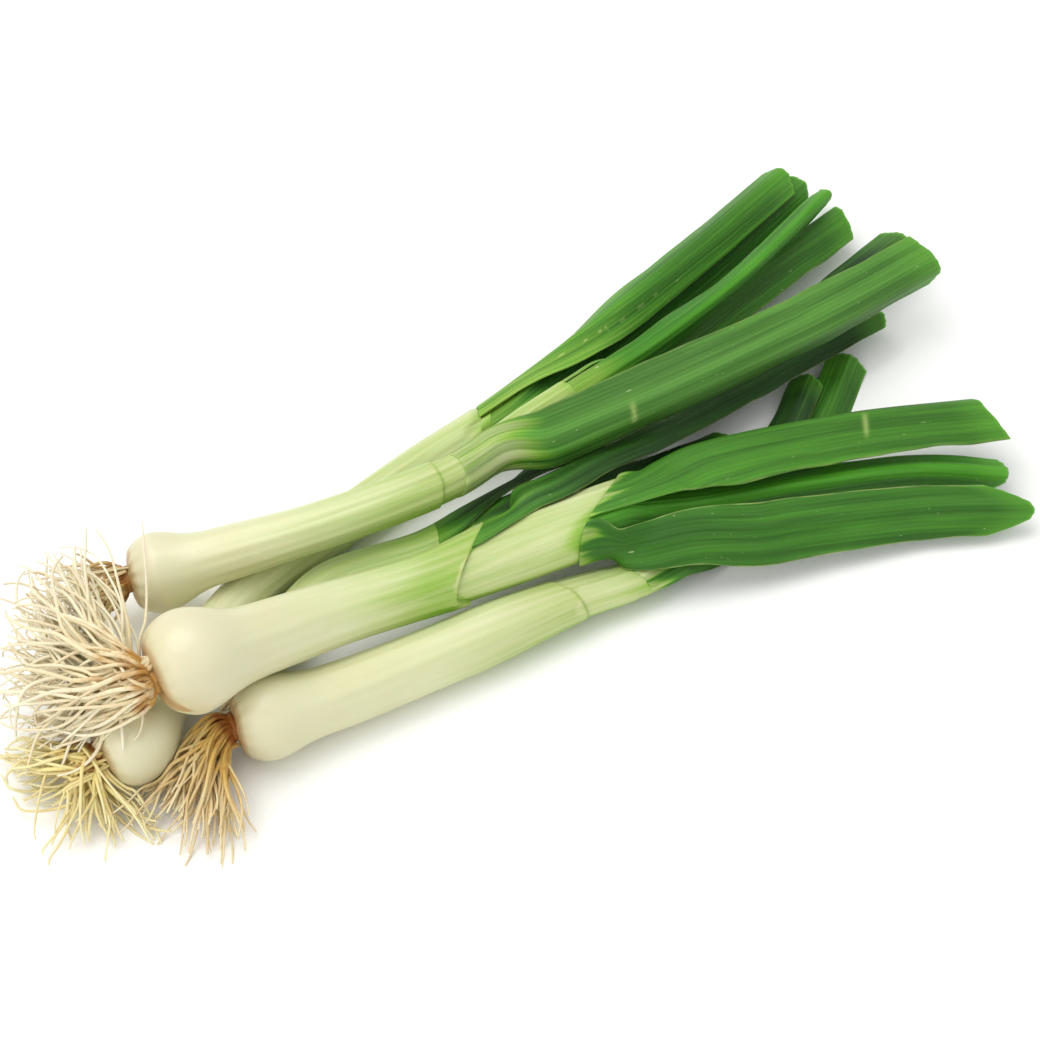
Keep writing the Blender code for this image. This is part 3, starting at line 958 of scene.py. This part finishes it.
    def leaf_sheet(self, leaf: Leaf, number: int) -> Sheet:
        """Lay out the middle surface of a leaf, with ribs, waves and colouring.

        Args:
            leaf: the leaf's sizes.
            number: the leaf's number on this plant, which also picks its waves.

        Returns:
            The surface.
        """
        seed = self.tuft.seed + 0.37 * number
        wrap = leaf.columns / 2 * SIDE_STEP - EDGE_GAP
        inner = LAYER * leaf.layer + LEAF_THICK / 2
        begin = self.warp(np.array(leaf.start), np.array(leaf.facing))
        lead = self.skin(begin + leaf.hold * np.arange(3), np.full(3, float(leaf.facing)),
                         np.full(3, inner))
        route = Route(np.vstack([lead, np.array(leaf.keel, float)]))
        share = np.linspace(0.0, 1.0, LEAF_ROWS + 1) ** 1.15
        side = np.linspace(-1.0, 1.0, LEAF_COLUMNS + 1)
        u, v = np.meshgrid(share, side, indexing="ij")
        d = SEAM_GAP + u * (route.length - SEAM_GAP)
        d = d + smoothstep((u - 0.75) / 0.25) * (leaf.skew * v - leaf.rounding * v * v)
        d = d + smoothstep((u - 0.97) / 0.03) * 0.3 * ripple(v * 1.6, seed)
        opened = smoothstep((d - leaf.hold) / leaf.opening)
        turned = smoothstep((d - leaf.hold) / leaf.turning)
        degrees = leaf.facing + v * wrap
        deep = inner + 0.2 * (1.0 - smoothstep((d - SEAM_GAP) / 1.2))
        sheath = self.skin(self.warp(leaf.start + d, degrees), degrees, deep)
        forward, up, left = route.frame(d)
        across, off, girth = self.blade_offset(leaf, v, u, turned)
        roll = np.radians(leaf.facing + (leaf.roll - leaf.facing) * turned)
        outward = up * np.cos(roll)[..., None] + left * np.sin(roll)[..., None]
        sideways = np.cross(outward, forward)
        edge = np.abs(v) ** 3 * smoothstep(d / 50.0)
        off = off + leaf.wave * edge * ripple(d / 47.0 + np.sign(v) * 0.31, seed, 3)
        across = across + 0.5 * leaf.wave * edge * np.sign(v) * ripple(d / 61.0, seed + 4, 3)
        blade = route.point(d) + sideways * across[..., None] + outward * off[..., None]
        places = sheath * (1 - opened)[..., None] + blade * opened[..., None]
        drift = 0.8 * ripple(d / 90.0, seed, 2)
        raised = leaf.ribs * smoothstep(d / 25.0) * np.cos(2 * math.pi * girth / RIB_PITCH + drift)
        keel_line = 0.25 * bell(girth, 0.9) * smoothstep(d / 30.0)
        places = places + grid_normals(places) * (raised + keel_line)[..., None]
        start, full = leaf.green
        uneven = 5.0 * ripple(v * 1.3, seed + 2, 4)
        growth = leaf.base_growth + (leaf.tip_growth - leaf.base_growth) \
            * smoothstep((d - start + uneven) / full)
        margin = smoothstep((np.abs(v) - 0.965) / 0.035) * (0.6 + 0.4 * ripple(d / 23, seed))
        brink = smoothstep((u - 0.992) / 0.008)
        rim = leaf.margin * margin * smoothstep(d / 15.0)
        for at, middle in leaf.marks:
            mark = np.exp(-((d - at - 4 * (v - middle)) / 0.9) ** 2 - ((v - middle) / 0.22) ** 4)
            rim = np.maximum(rim, 0.5 * mark)
        for first, last, middle in leaf.dashes:
            dotted = (d > first) & (d < last) & (ripple(d / 9.0, seed, 3) > 0.25)
            rim = np.maximum(rim, 0.6 * dotted * bell(v - middle, 0.022))
        return Sheet(places, {
            "growth": growth,
            "rim": rim,
            "fresh": np.clip(0.75 * brink + 0.30 * smoothstep((u - 0.90) / 0.1), 0.0, 1.0),
            "grain": np.stack([girth + 3.1 * number, np.zeros_like(d), leaf.start + d], -1),
        })

    def blade_offset(self, leaf: Leaf, v: Array, along: Array,
                     turned: Array) -> tuple[Array, Array, Array]:
        """Return the offsets across a blade and off its keel, and the way over its surface.

        Args:
            leaf: the leaf's sizes.
            v: places across the blade, from -1 to 1.
            along: share of the blade's length.
            turned: how far the blade has taken up its own fold.

        Returns:
            The offset across, the offset outwards and the signed distance from the keel.
        """
        fold = leaf.fold * turned + min(leaf.fold, BASE_FOLD) * (1 - turned)
        width = np.where(v > 0, leaf.widths[0], leaf.widths[1]) * (1 - (1 - leaf.taper) * along)
        width = width * (leaf.waist + (1 - leaf.waist) * smoothstep(along / 0.4))
        across = np.zeros_like(v)
        off = np.zeros_like(v)
        piece = width * np.abs(v) / FOLD_STEPS
        for k in range(1, FOLD_STEPS + 1):
            angle = np.radians(fold * smoothstep(np.abs(v) * k / FOLD_STEPS / 0.35))
            across = across + np.cos(angle) * piece
            off = off - np.sin(angle) * piece
        return np.sign(v) * across, off, v * width

    def build_leaf(self, leaf: Leaf, number: int, finish: bpy.types.Material) -> bpy.types.Object:
        """Build one leaf as a closed blade that thins to its margins.

        Args:
            leaf: the leaf's sizes.
            number: the leaf's number on this plant.
            finish: the leaf's finish.

        Returns:
            The new object.
        """
        sheet = self.leaf_sheet(leaf, number)
        side = np.abs(np.linspace(-1.0, 1.0, LEAF_COLUMNS + 1))[None, :]
        thick = MARGIN_THICK + (LEAF_THICK - MARGIN_THICK) * (1 - side ** 2)
        thick = np.repeat(thick, LEAF_ROWS + 1, axis=0)
        return shell(f"{self.name}_blade_{number}", sheet, thick, finish)

    def grow_strand(self, number: int, obstacles: Obstacles,
                    rng: np.random.Generator) -> Array:
        """Return one strand's places, from inside the basal plate to its tip.

        Args:
            number: the strand's number, where the first ones are the strays.
            obstacles: what the strand keeps out of.
            rng: the seeded source of its shape.

        Returns:
            The places, one row each.
        """
        tuft = self.tuft
        forward, up, left = self.route.frame(np.array(0.0))
        out = rng.uniform(0.0, 1.0) ** 0.6
        around = rng.uniform(0.0, 2 * math.pi)
        radial = up * math.cos(around) + left * math.sin(around)
        lean = math.radians(tuft.spread * out)
        heading = -forward * math.cos(lean) + radial * math.sin(lean)
        place = self.route.point(np.array(0.0)) - forward * 1.2 + radial * out * self.bulb * 0.26
        tip = np.array(tuft.tips[rng.integers(len(tuft.tips))], float)
        tip = tip + rng.normal(0.0, tuft.scatter, 3) * np.array([1.0, 1.0, 0.6])
        tip = place + (tip - place) * rng.uniform(tuft.short, 1.04)
        if number < len(tuft.strays):
            tip = np.array(tuft.strays[number], float)
        reach = np.linalg.norm(tip - place)
        first = place + heading * reach * rng.uniform(0.25, 0.42)
        second = place + (tip - place) * 0.68 + rng.normal(0.0, tuft.loose, 3) * reach
        t = np.linspace(0.0, 1.0, STRAND_POINTS)[:, None]
        line = (1 - t) ** 3 * place + 3 * (1 - t) ** 2 * t * first
        line = line + 3 * (1 - t) * t ** 2 * second + t ** 3 * tip
        shake = [ripple(t[:, 0] * reach / 34.0, rng.uniform(0.0, 99.0), 2) for _ in range(3)]
        line = line + np.stack(shake, -1) * 1.2 * smoothstep(t / 0.4)
        return np.array([line[0]] + [obstacles.pushed_out(spot) for spot in line[1:]])

    def build_roots(self, obstacles: Obstacles) -> bpy.types.Object:
        """Build the basal plate and its strands as one piece.

        Args:
            obstacles: what the strands keep out of.

        Returns:
            The new object.
        """
        rng = np.random.default_rng(self.tuft.seed)
        low, high = (np.array(corner) / MM + CENTRE for corner in CAD_BOX)
        vertices: list[Array] = []
        edges: list[tuple[int, int]] = []
        values: dict[str, list[float]] = {"growth": [], "thick": [], "tint": []}
        for number in range(self.tuft.count):
            line = np.clip(self.grow_strand(number, obstacles, rng), low + BOX_GAP,
                           high - BOX_GAP)
            radius = rng.uniform(*self.tuft.thick)
            start = len(vertices)
            share = np.linspace(0.0, 1.0, len(line))
            vertices += list(line)
            edges += [(start + k, start + k + 1) for k in range(len(line) - 1)]
            values["growth"] += share.tolist()
            values["thick"] += (radius * (1.0 - 0.55 * share ** 1.6) * MM).tolist()
            values["tint"] += [rng.uniform(0.0, 1.0)] * len(line)
        mesh = bpy.data.meshes.new(f"{self.name}_strands")
        mesh.from_pydata([tuple(p) for p in in_frame(np.array(vertices)).tolist()], edges, [])
        for key, data in values.items():
            mesh.attributes.new(key, "FLOAT", "POINT").data.foreach_set("value", data)
        guide = bpy.data.objects.new(f"{self.name}_strands", mesh)
        bpy.context.scene.collection.objects.link(guide)
        material = self.tuft.finish.make()
        return self.with_plate(StrandTree(STRAND_SIDES, material).grow(guide), material)

    def with_plate(self, strands: bpy.types.Mesh, material: bpy.types.Material
                   ) -> bpy.types.Object:
        """Join the strands with a bumpy basal plate.

        Args:
            strands: the mesh of all the strands.
            material: the finish of both.

        Returns:
            The new object.
        """
        forward, up, left = self.route.frame(np.array(0.0))
        turn = np.radians(np.arange(PLATE_SIDES) * 360.0 / PLATE_SIDES)
        around = up * np.cos(turn)[:, None] + left * np.sin(turn)[:, None]
        rings = []
        for back, reach in ((-0.8, 0.30), (0.4, 0.335), (1.2, 0.33), (2.0, 0.28), (2.6, 0.20)):
            bumpy = self.bulb * reach * (1 + 0.05 * np.sin(7 * turn + 3 * back))
            rings.append(self.route.point(np.array(0.0)) - forward * back
                         + around * bumpy[:, None])
        made = bmesh.new()
        made.from_mesh(strands)
        layer = made.verts.layers.float["growth"]
        added = [made.verts.new(place) for place in in_frame(np.vstack(rings)).tolist()]
        for vertex in added:
            vertex[layer] = 0.05
        for corners in ring_faces(len(rings), PLATE_SIDES):
            made.faces.new([added[corner] for corner in corners])
        made.faces.new(added[:PLATE_SIDES])
        made.faces.new(added[-PLATE_SIDES:])
        bmesh.ops.recalc_face_normals(made, faces=made.faces)
        mesh = bpy.data.meshes.new(f"{self.name}_tuft")
        made.to_mesh(mesh)
        made.free()
        return linked(f"{self.name}_tuft", mesh, material)


@dataclass
class StrandTree:
    """Node tree that turns lines into tapered closed strands."""

    sides: int
    material: bpy.types.Material

    def tree(self) -> bpy.types.NodeTree:
        """Build the node tree.

        Returns:
            The node tree, with named inputs.
        """
        tree = bpy.data.node_groups.new("strands_from_lines", "GeometryNodeTree")
        for name, kind, way in (("Lines", "Geometry", "INPUT"), ("Sides", "Int", "INPUT"),
                                ("Spacing", "Float", "INPUT"), ("Finish", "Material", "INPUT"),
                                ("Strands", "Geometry", "OUTPUT")):
            tree.interface.new_socket(name, in_out=way, socket_type=f"NodeSocket{kind}")
        node = {key: tree.nodes.new(kind) for key, kind in (
            ("entry", "NodeGroupInput"), ("leave", "NodeGroupOutput"),
            ("curve", "GeometryNodeMeshToCurve"), ("kind", "GeometryNodeCurveSplineType"),
            ("even", "GeometryNodeResampleCurve"), ("ring", "GeometryNodeCurvePrimitiveCircle"),
            ("thick", "GeometryNodeInputNamedAttribute"), ("tube", "GeometryNodeCurveToMesh"),
            ("real", "GeometryNodeRealizeInstances"), ("paint", "GeometryNodeSetMaterial"))}
        node["kind"].spline_type = "CATMULL_ROM"
        node["even"].mode = "LENGTH"
        node["ring"].inputs["Radius"].default_value = 1.0
        node["thick"].data_type = "FLOAT"
        node["thick"].inputs["Name"].default_value = "thick"
        node["tube"].inputs["Fill Caps"].default_value = True
        for source, output, target, entry in (
                ("entry", "Lines", "curve", "Mesh"), ("curve", "Curve", "kind", "Curve"),
                ("kind", "Curve", "even", "Curve"), ("entry", "Spacing", "even", "Length"),
                ("entry", "Sides", "ring", "Resolution"), ("even", "Curve", "tube", "Curve"),
                ("ring", "Curve", "tube", "Profile Curve"),
                ("thick", "Attribute", "tube", "Scale"), ("tube", "Mesh", "real", "Geometry"),
                ("real", "Geometry", "paint", "Geometry"),
                ("entry", "Finish", "paint", "Material"),
                ("paint", "Geometry", "leave", "Strands")):
            tree.links.new(node[source].outputs[output], node[target].inputs[entry])
        return tree

    def grow(self, guide: bpy.types.Object) -> bpy.types.Mesh:
        """Grow the strands along the guide's lines, and remove the guide.

        Args:
            guide: lines with the attributes growth, thick and tint.

        Returns:
            The strands as a plain mesh.
        """
        grown = guide.modifiers.new("strands", "NODES")
        grown.node_group = self.tree()
        wanted = {"Sides": self.sides, "Spacing": STRAND_SPACING * MM, "Finish": self.material}
        for item in grown.node_group.interface.items_tree:
            if item.in_out == "INPUT" and item.name in wanted:
                grown[item.identifier] = wanted[item.name]
        bpy.context.view_layer.update()
        graph = bpy.context.evaluated_depsgraph_get()
        mesh = bpy.data.meshes.new_from_object(guide.evaluated_get(graph))
        guide.modifiers.remove(grown)
        bpy.data.objects.remove(guide)
        return mesh


STRAW = RootFinish("straw_roots", "C8994E", "F3E9C4", "F8F3DC")
BROWN = RootFinish("brown_roots", "A8763A", "D2B77E", "E6D8B0")
GOLD = RootFinish("gold_roots", "A0601C", "ECDC90", "F6F0C4")
AMBER = RootFinish("amber_roots", "9A5A16", "DCB860", "F2E8C4")


def onion_a() -> Plant:
    """Return the front plant on top."""
    return Plant(
        name="onion_a",
        line=[(-136, -28, 38), (-127, -28, 38), (-107, -27, 33.5), (-78, -24, 26), (-45, -25, 22),
              (-13, -24.5, 20), (20, -26.6, 19.3), (50, -29, 18)],
        bulb=15.8, neck=10.6, shank=9.6, collar=(13, 9.6), length=158.5,
        slant=14, slant_facing=90, slant_at=132, seam=107,
        tints=[(0, 0.03), (14, 0.10), (60, 0.22), (80, 0.34), (92, 0.42), (106.9, 0.43),
               (107.1, 0.33), (140, 0.32), (148, 0.35), (152, 0.50), (160, 0.6)],
        leaves=[
            # Painted shade: this leaf's far part lies in shadow under the leaves above it, so it
            # darkens to near-black.
            Leaf(start=107, facing=60, roll=12, fold=22, widths=(9, 6), columns=4,
                 hold=2, opening=14, turning=16, tone=Tone.SHADED, green=(-10, 60),
                 base_growth=0.60, tip_growth=0.90,
                 keel=[(-4, -13.2, 28.5), (5, -13, 28.2), (20, -9, 25), (42, -4, 19),
                       (67, 0.9, 14), (94, 5, 12.5), (147, 13, 10)]),
            Leaf(start=152, facing=30, roll=50, fold=60, widths=(4.5, 21), columns=4,
                 hold=2, opening=16, turning=30,
                 keel=[(40, -18, 24), (53, -17.4, 23.5), (105, -27.1, 20), (145, -40.2, 18)],
                 waist=0.65, skew=-8, rounding=0, tone=Tone.PLAIN, green=(-1, 6),
                 base_growth=0.42, tip_growth=0.82, marks=[(90, -0.4)]),
            Leaf(start=152, facing=-30, layer=1, roll=-40, fold=52, widths=(8, 7.5),
                 columns=4, hold=4, opening=16, tone=Tone.FRESH, green=(-1, 6),
                 base_growth=0.42, tip_growth=0.80,
                 keel=[(46, -34, 17.3), (84, -42.8, 14.6), (116, -52.9, 12.8),
                       (141, -67.2, 11.2)]),
            Leaf(start=152, facing=-90, roll=-35, fold=14, widths=(12, 11), columns=4,
                 hold=1, opening=14, turning=26, tone=Tone.DEEP, green=(-1, 6),
                 base_growth=0.42, tip_growth=0.84,
                 keel=[(20, -43, 19.9), (36.6, -46.8, 19.4), (56, -53.6, 16.3),
                       (70, -56.5, 14.5), (108, -67.4, 11), (141, -81.9, 8.7)],
                 waist=0.55, rounding=16, taper=0.7, margin=0.8),
        ],
        tuft=Tuft(count=260, seed=11, finish=STRAW, short=0.72, thick=(0.55, 0.85),
                  tips=[(-152.5, 31, 30), (-144, 28, 33), (-167.6, 11.6, 25), (-172.8, 2, 20),
                        (-175, -10.5, 15), (-160, 21, 28), (-168, -20, 16), (-162, 8, 30)],
                  strays=[(-134.2, 10.5, 62), (-121.2, 5.8, 64), (-151.7, -37.5, 24),
                          (-147.7, -36.1, 26), (-177.5, -23.9, 12), (-170, -30, 14)]),
    )


def onion_b() -> Plant:
    """Return the back plant on top."""
    return Plant(
        name="onion_b",
        line=[(-123, 24, 18), (-114, 22, 18), (-91, 14, 23.5), (-63, 8, 26.5), (-25, 6.5, 26),
              (-10, 9.5, 25), (11, 15, 25), (39, 21, 25), (60, 26, 25)],
        bulb=12.6, neck=8.4, shank=7.4, collar=(7.4, 7.2), length=172,
        slant=2, slant_facing=0, slant_at=112, scar=98,
        tints=[(0, 0.05), (12, 0.11), (40, 0.20), (62, 0.30), (85, 0.37), (98, 0.38),
               (112, 0.36), (150, 0.42), (156, 0.50), (172, 0.62)],
        leaves=[
            Leaf(start=106, facing=-60, roll=-62, fold=42, widths=(17, 8), waist=0.75,
                 tone=Tone.BLUISH, green=(13, 24), base_growth=0.36, tip_growth=0.86,
                 marks=[(60, 0.1)],
                 keel=[(8, 0, 26.8), (28, -1.2, 27.5), (47, -1.2, 27.8), (66, -1, 28),
                       (114, 2.5, 27), (167, 11, 24)]),
            Leaf(start=156, facing=90, layer=1, roll=24, fold=55, widths=(8, 15),
                 columns=4, waist=0.45, turning=30, tone=Tone.PLAIN,
                 keel=[(55, 30.5, 18.5), (75, 34.5, 18), (106, 45, 16), (160, 61, 13)]),
            Leaf(start=156, facing=-38, layer=1, roll=-36, fold=66, widths=(7, 7),
                 columns=4, waist=0.5, tone=Tone.FRESH, tip_growth=0.78,
                 keel=[(65, 24, 28.3), (104, 37, 26), (157, 62, 21)]),
        ],
        tuft=Tuft(count=80, seed=12, finish=BROWN, scatter=3, short=0.8,
                  tips=[(-138, 31, 16), (-142, 26, 12), (-140, 15, 12), (-137, 20, 20),
                        (-141, 34, 22)]),
    )


def onion_c() -> Plant:
    """Return the back plant on the surface."""
    return Plant(
        name="onion_c",
        line=[(-156, -29, 13.5), (-146, -28, 13.5), (-127, -15, 11), (-94, 8, 8),
              (-58, 19, 7.6), (-25, 27, 8.5), (8, 32, 11), (26, 36, 12), (50, 42, 12)],
        bulb=14, neck=8.4, shank=7.4, collar=(7.8, 7.4), length=196,
        slant=4, slant_facing=90, slant_at=172,
        tints=[(0, 0.05), (14, 0.12), (80, 0.22), (120, 0.30), (150, 0.34), (170, 0.36),
               (176, 0.50), (196, 0.60)],
        leaves=[
            Leaf(start=174, facing=60, roll=0, fold=38, widths=(9, 11), columns=4,
                 tone=Tone.PLAIN, green=(-10, 140), base_growth=0.50, tip_growth=0.82,
                 wave=0.25, dashes=[(26, 52, -0.40), (50, 78, -0.52)],
                 keel=[(45, 45, 20), (58, 49, 20), (107, 66, 18.5), (153, 85, 15)]),
            Leaf(start=178, facing=-60, layer=1, roll=-30, fold=20, widths=(8, 7),
                 columns=4, tone=Tone.DEEP, tip_growth=1,
                 keel=[(45, 38, 12), (62, 44, 12), (111, 61, 11), (160, 81, 9)]),
            Leaf(start=174, facing=-90, roll=-80, fold=12, widths=(4.5, 4.5), columns=4,
                 tone=Tone.FRESH,
                 keel=[(50, 32, 7), (67, 36, 7), (118, 52, 7), (166, 75, 6)]),
        ],
        tuft=Tuft(count=120, seed=13, finish=GOLD, scatter=4, short=0.75,
                  tips=[(-179.5, -9.4, 3), (-180.5, -23.4, 3), (-176, -44, 3), (-164, -50, 3),
                        (-152, -52.8, 3), (-176, -18, 12)]),
    )


def onion_d() -> Plant:
    """Return the front plant on the surface."""
    return Plant(
        name="onion_d",
        line=[(-117, -38, 12.6), (-104, -40, 12.6), (-84, -41.5, 11), (-47, -42, 9.6),
              (-8, -42, 9), (19, -43.5, 7.2), (40, -42, 5.8)],
        bulb=13, neck=10, shank=9.5, collar=(8, 5.8), length=147,
        slant=4, slant_facing=-90, slant_at=128, scar=110,
        tints=[(0, 0.05), (12, 0.12), (60, 0.20), (90, 0.27), (109.9, 0.34), (110.1, 0.28),
               (126, 0.33), (134, 0.42), (140, 0.55), (148, 0.6)],
        leaves=[
            Leaf(start=132, facing=-30, roll=-10, fold=15, widths=(8.5, 8.5),
                 columns=4, waist=0.6, turning=40, tone=Tone.PLAIN, green=(0, 9),
                 base_growth=0.42,
                 keel=[(32, -44.5, 8), (46, -42, 5), (70, -33, 3.5), (104, -15, 3),
                       (131, 7, 3)]),
            # Painted shade: this leaf lies in shadow, so it takes the near-black green.
            Leaf(start=138, facing=120, roll=10, fold=15, widths=(7, 7), columns=4,
                 turning=35, layer=1, waist=0.6, tone=Tone.SHADED,
                 keel=[(42, -33.2, 6.8), (60, -28.5, 7), (88, -15, 6), (112, 4, 6)]),
        ],
        tuft=Tuft(count=110, seed=14, finish=AMBER, spread=50, loose=0.06, short=0.7,
                  tips=[(-147.7, -43.2, 3), (-146, -60.2, 3), (-134, -71, 3),
                        (-151, -50, 4), (-141, -66, 3)]),
    )


def onion_e() -> Plant:
    """Return the small green plant between the others."""
    return Plant(
        name="onion_e",
        line=[(-105, -20, 9.5), (-97, -15, 9.5), (-85, -8, 9), (-68, -1.5, 9), (-35, -5, 10),
              (-16, -2, 9), (20, 2, 7)],
        bulb=9.5, neck=7, shank=7.6, collar=(8, 6.4), length=102,
        slant=3, slant_facing=90, slant_at=80,
        tints=[(0, 0.08), (20, 0.22), (36, 0.34), (60, 0.43), (78, 0.50), (92, 0.58), (102, 0.7)],
        leaves=[
            # Painted shade: both leaves lie in shadow under the others, so they take the
            # near-black green.
            Leaf(start=78, facing=60, roll=10, fold=12, widths=(9, 5.5), tone=Tone.SHADED,
                 green=(0, 26), base_growth=0.58, tip_growth=1,
                 keel=[(2, 7, 11), (32, 11, 11), (70, 15, 13), (120, 22, 16), (170, 35.5, 17)]),
            Leaf(start=92, facing=-60, layer=1, roll=-10, fold=15, widths=(7, 7),
                 tone=Tone.SHADED, green=(0, 26), base_growth=0.58, tip_growth=1,
                 keel=[(20, -4, 4.5), (50, -6, 3.5), (76, -6, 3)]),
        ],
        tuft=Tuft(count=20, seed=15, finish=AMBER, scatter=2,
                  tips=[(-116, -26, 3), (-118, -22, 3)]),
    )


@dataclass
class Bunch:
    """The whole bunch: its plants and the finishes that they share."""

    plants: list[Plant]
    leaf_finishes: dict[Tone, bpy.types.Material] = field(default_factory=dict)

    def build(self) -> list[tuple[bpy.types.Object, str, str]]:
        """Build every piece.

        Returns:
            Each piece with the node that it stands for and its slot.
        """
        skin = SkinFinish().make()
        for tone in Tone:
            self.leaf_finishes[tone] = LeafFinish(tone).make()
        made = []
        shanks = []
        for plant in self.plants:
            shank = plant.build_shank(skin)
            shanks.append(shank)
            made.append((shank, f"{plant.name}_shank", "shank"))
        obstacles = Obstacles(shanks)
        for plant in self.plants:
            for number, leaf in enumerate(plant.leaves, 1):
                blade = plant.build_leaf(leaf, number, self.leaf_finishes[leaf.tone])
                made.append((blade, f"{plant.name}_leaf_{number}", "leaf"))
            made.append((plant.build_roots(obstacles), f"{plant.name}_roots", "roots"))
        return made

    def dress(self) -> None:
        """Build every piece and fasten it to the frame."""
        for piece, node, slot in self.build():
            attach(piece, "root")
            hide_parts(node)
            LOG.info("%s: %d faces", piece.name, len(piece.data.polygons))


@dataclass
class Studio:
    """Pale floor, soft lights and the camera at the photo's angle."""

    azimuth: float = -29.0
    elevation: float = 50.0
    lens: float = 90.0
    distance: float = 0.833
    floor_half: float = 3.0

    def build_floor(self) -> None:
        """Add the floor."""
        mesh = bpy.data.meshes.new("floor")
        half = self.floor_half
        corners = [(-half, -half, 0.0), (half, -half, 0.0), (half, half, 0.0), (-half, half, 0.0)]
        mesh.from_pydata(corners, [], [(0, 1, 2, 3)])
        linked("floor", mesh, FloorFinish().make())

    def add_light(self, name: str, place: Triple, size: float, power: float) -> None:
        """Add one soft square light that points at the bunch.

        Args:
            name: the light's name.
            place: where it is, in metres.
            size: the length of its side.
            power: its power in watts.
        """
        data = bpy.data.lights.new(name, "AREA")
        data.shape = "SQUARE"
        data.size = size
        data.energy = power
        light = bpy.data.objects.new(name, data)
        light.location = place
        light.rotation_euler = (-Vector(place)).to_track_quat("-Z", "Y").to_euler()
        bpy.context.scene.collection.objects.link(light)

    def light(self) -> None:
        """Add the lights and the pale surroundings."""
        self.add_light("top_light", (-0.25, 0.35, 1.3), 1.1, 10.5)
        self.add_light("side_light", (-1.1, -0.5, 0.8), 0.9, 3.5)
        world = bpy.data.worlds.new("pale_room")
        bpy.context.scene.world = world
        world.use_nodes = True
        back = world.node_tree.nodes["Background"]
        back.inputs["Color"].default_value = (1.0, 1.0, 1.0, 1.0)
        back.inputs["Strength"].default_value = 0.72

    def place_camera(self) -> None:
        """Add the camera."""
        turn, tilt = math.radians(self.azimuth), math.radians(self.elevation)
        back = Vector((math.sin(turn) * math.cos(tilt), -math.cos(turn) * math.cos(tilt),
                       math.sin(tilt)))
        right = Vector((math.cos(turn), math.sin(turn), 0.0))
        matrix = Matrix((right, back.cross(right), back)).transposed().to_4x4()
        matrix.translation = back * self.distance - Vector(CENTRE * MM)
        data = bpy.data.cameras.new("camera")
        data.lens = self.lens
        data.sensor_width = 36.0
        camera = bpy.data.objects.new("camera", data)
        camera.matrix_world = matrix
        bpy.context.scene.collection.objects.link(camera)
        bpy.context.scene.camera = camera

    def build(self) -> None:
        """Add everything that isn't part of the bunch."""
        self.build_floor()
        self.light()
        self.place_camera()
        bpy.context.scene.view_settings.view_transform = "Standard"


def main() -> None:
    """Build the studio and the bunch."""
    logging.basicConfig(level=logging.INFO)
    Studio().build()
    Bunch([onion_a(), onion_b(), onion_c(), onion_d(), onion_e()]).dress()


if __name__ == "__main__":
    main()
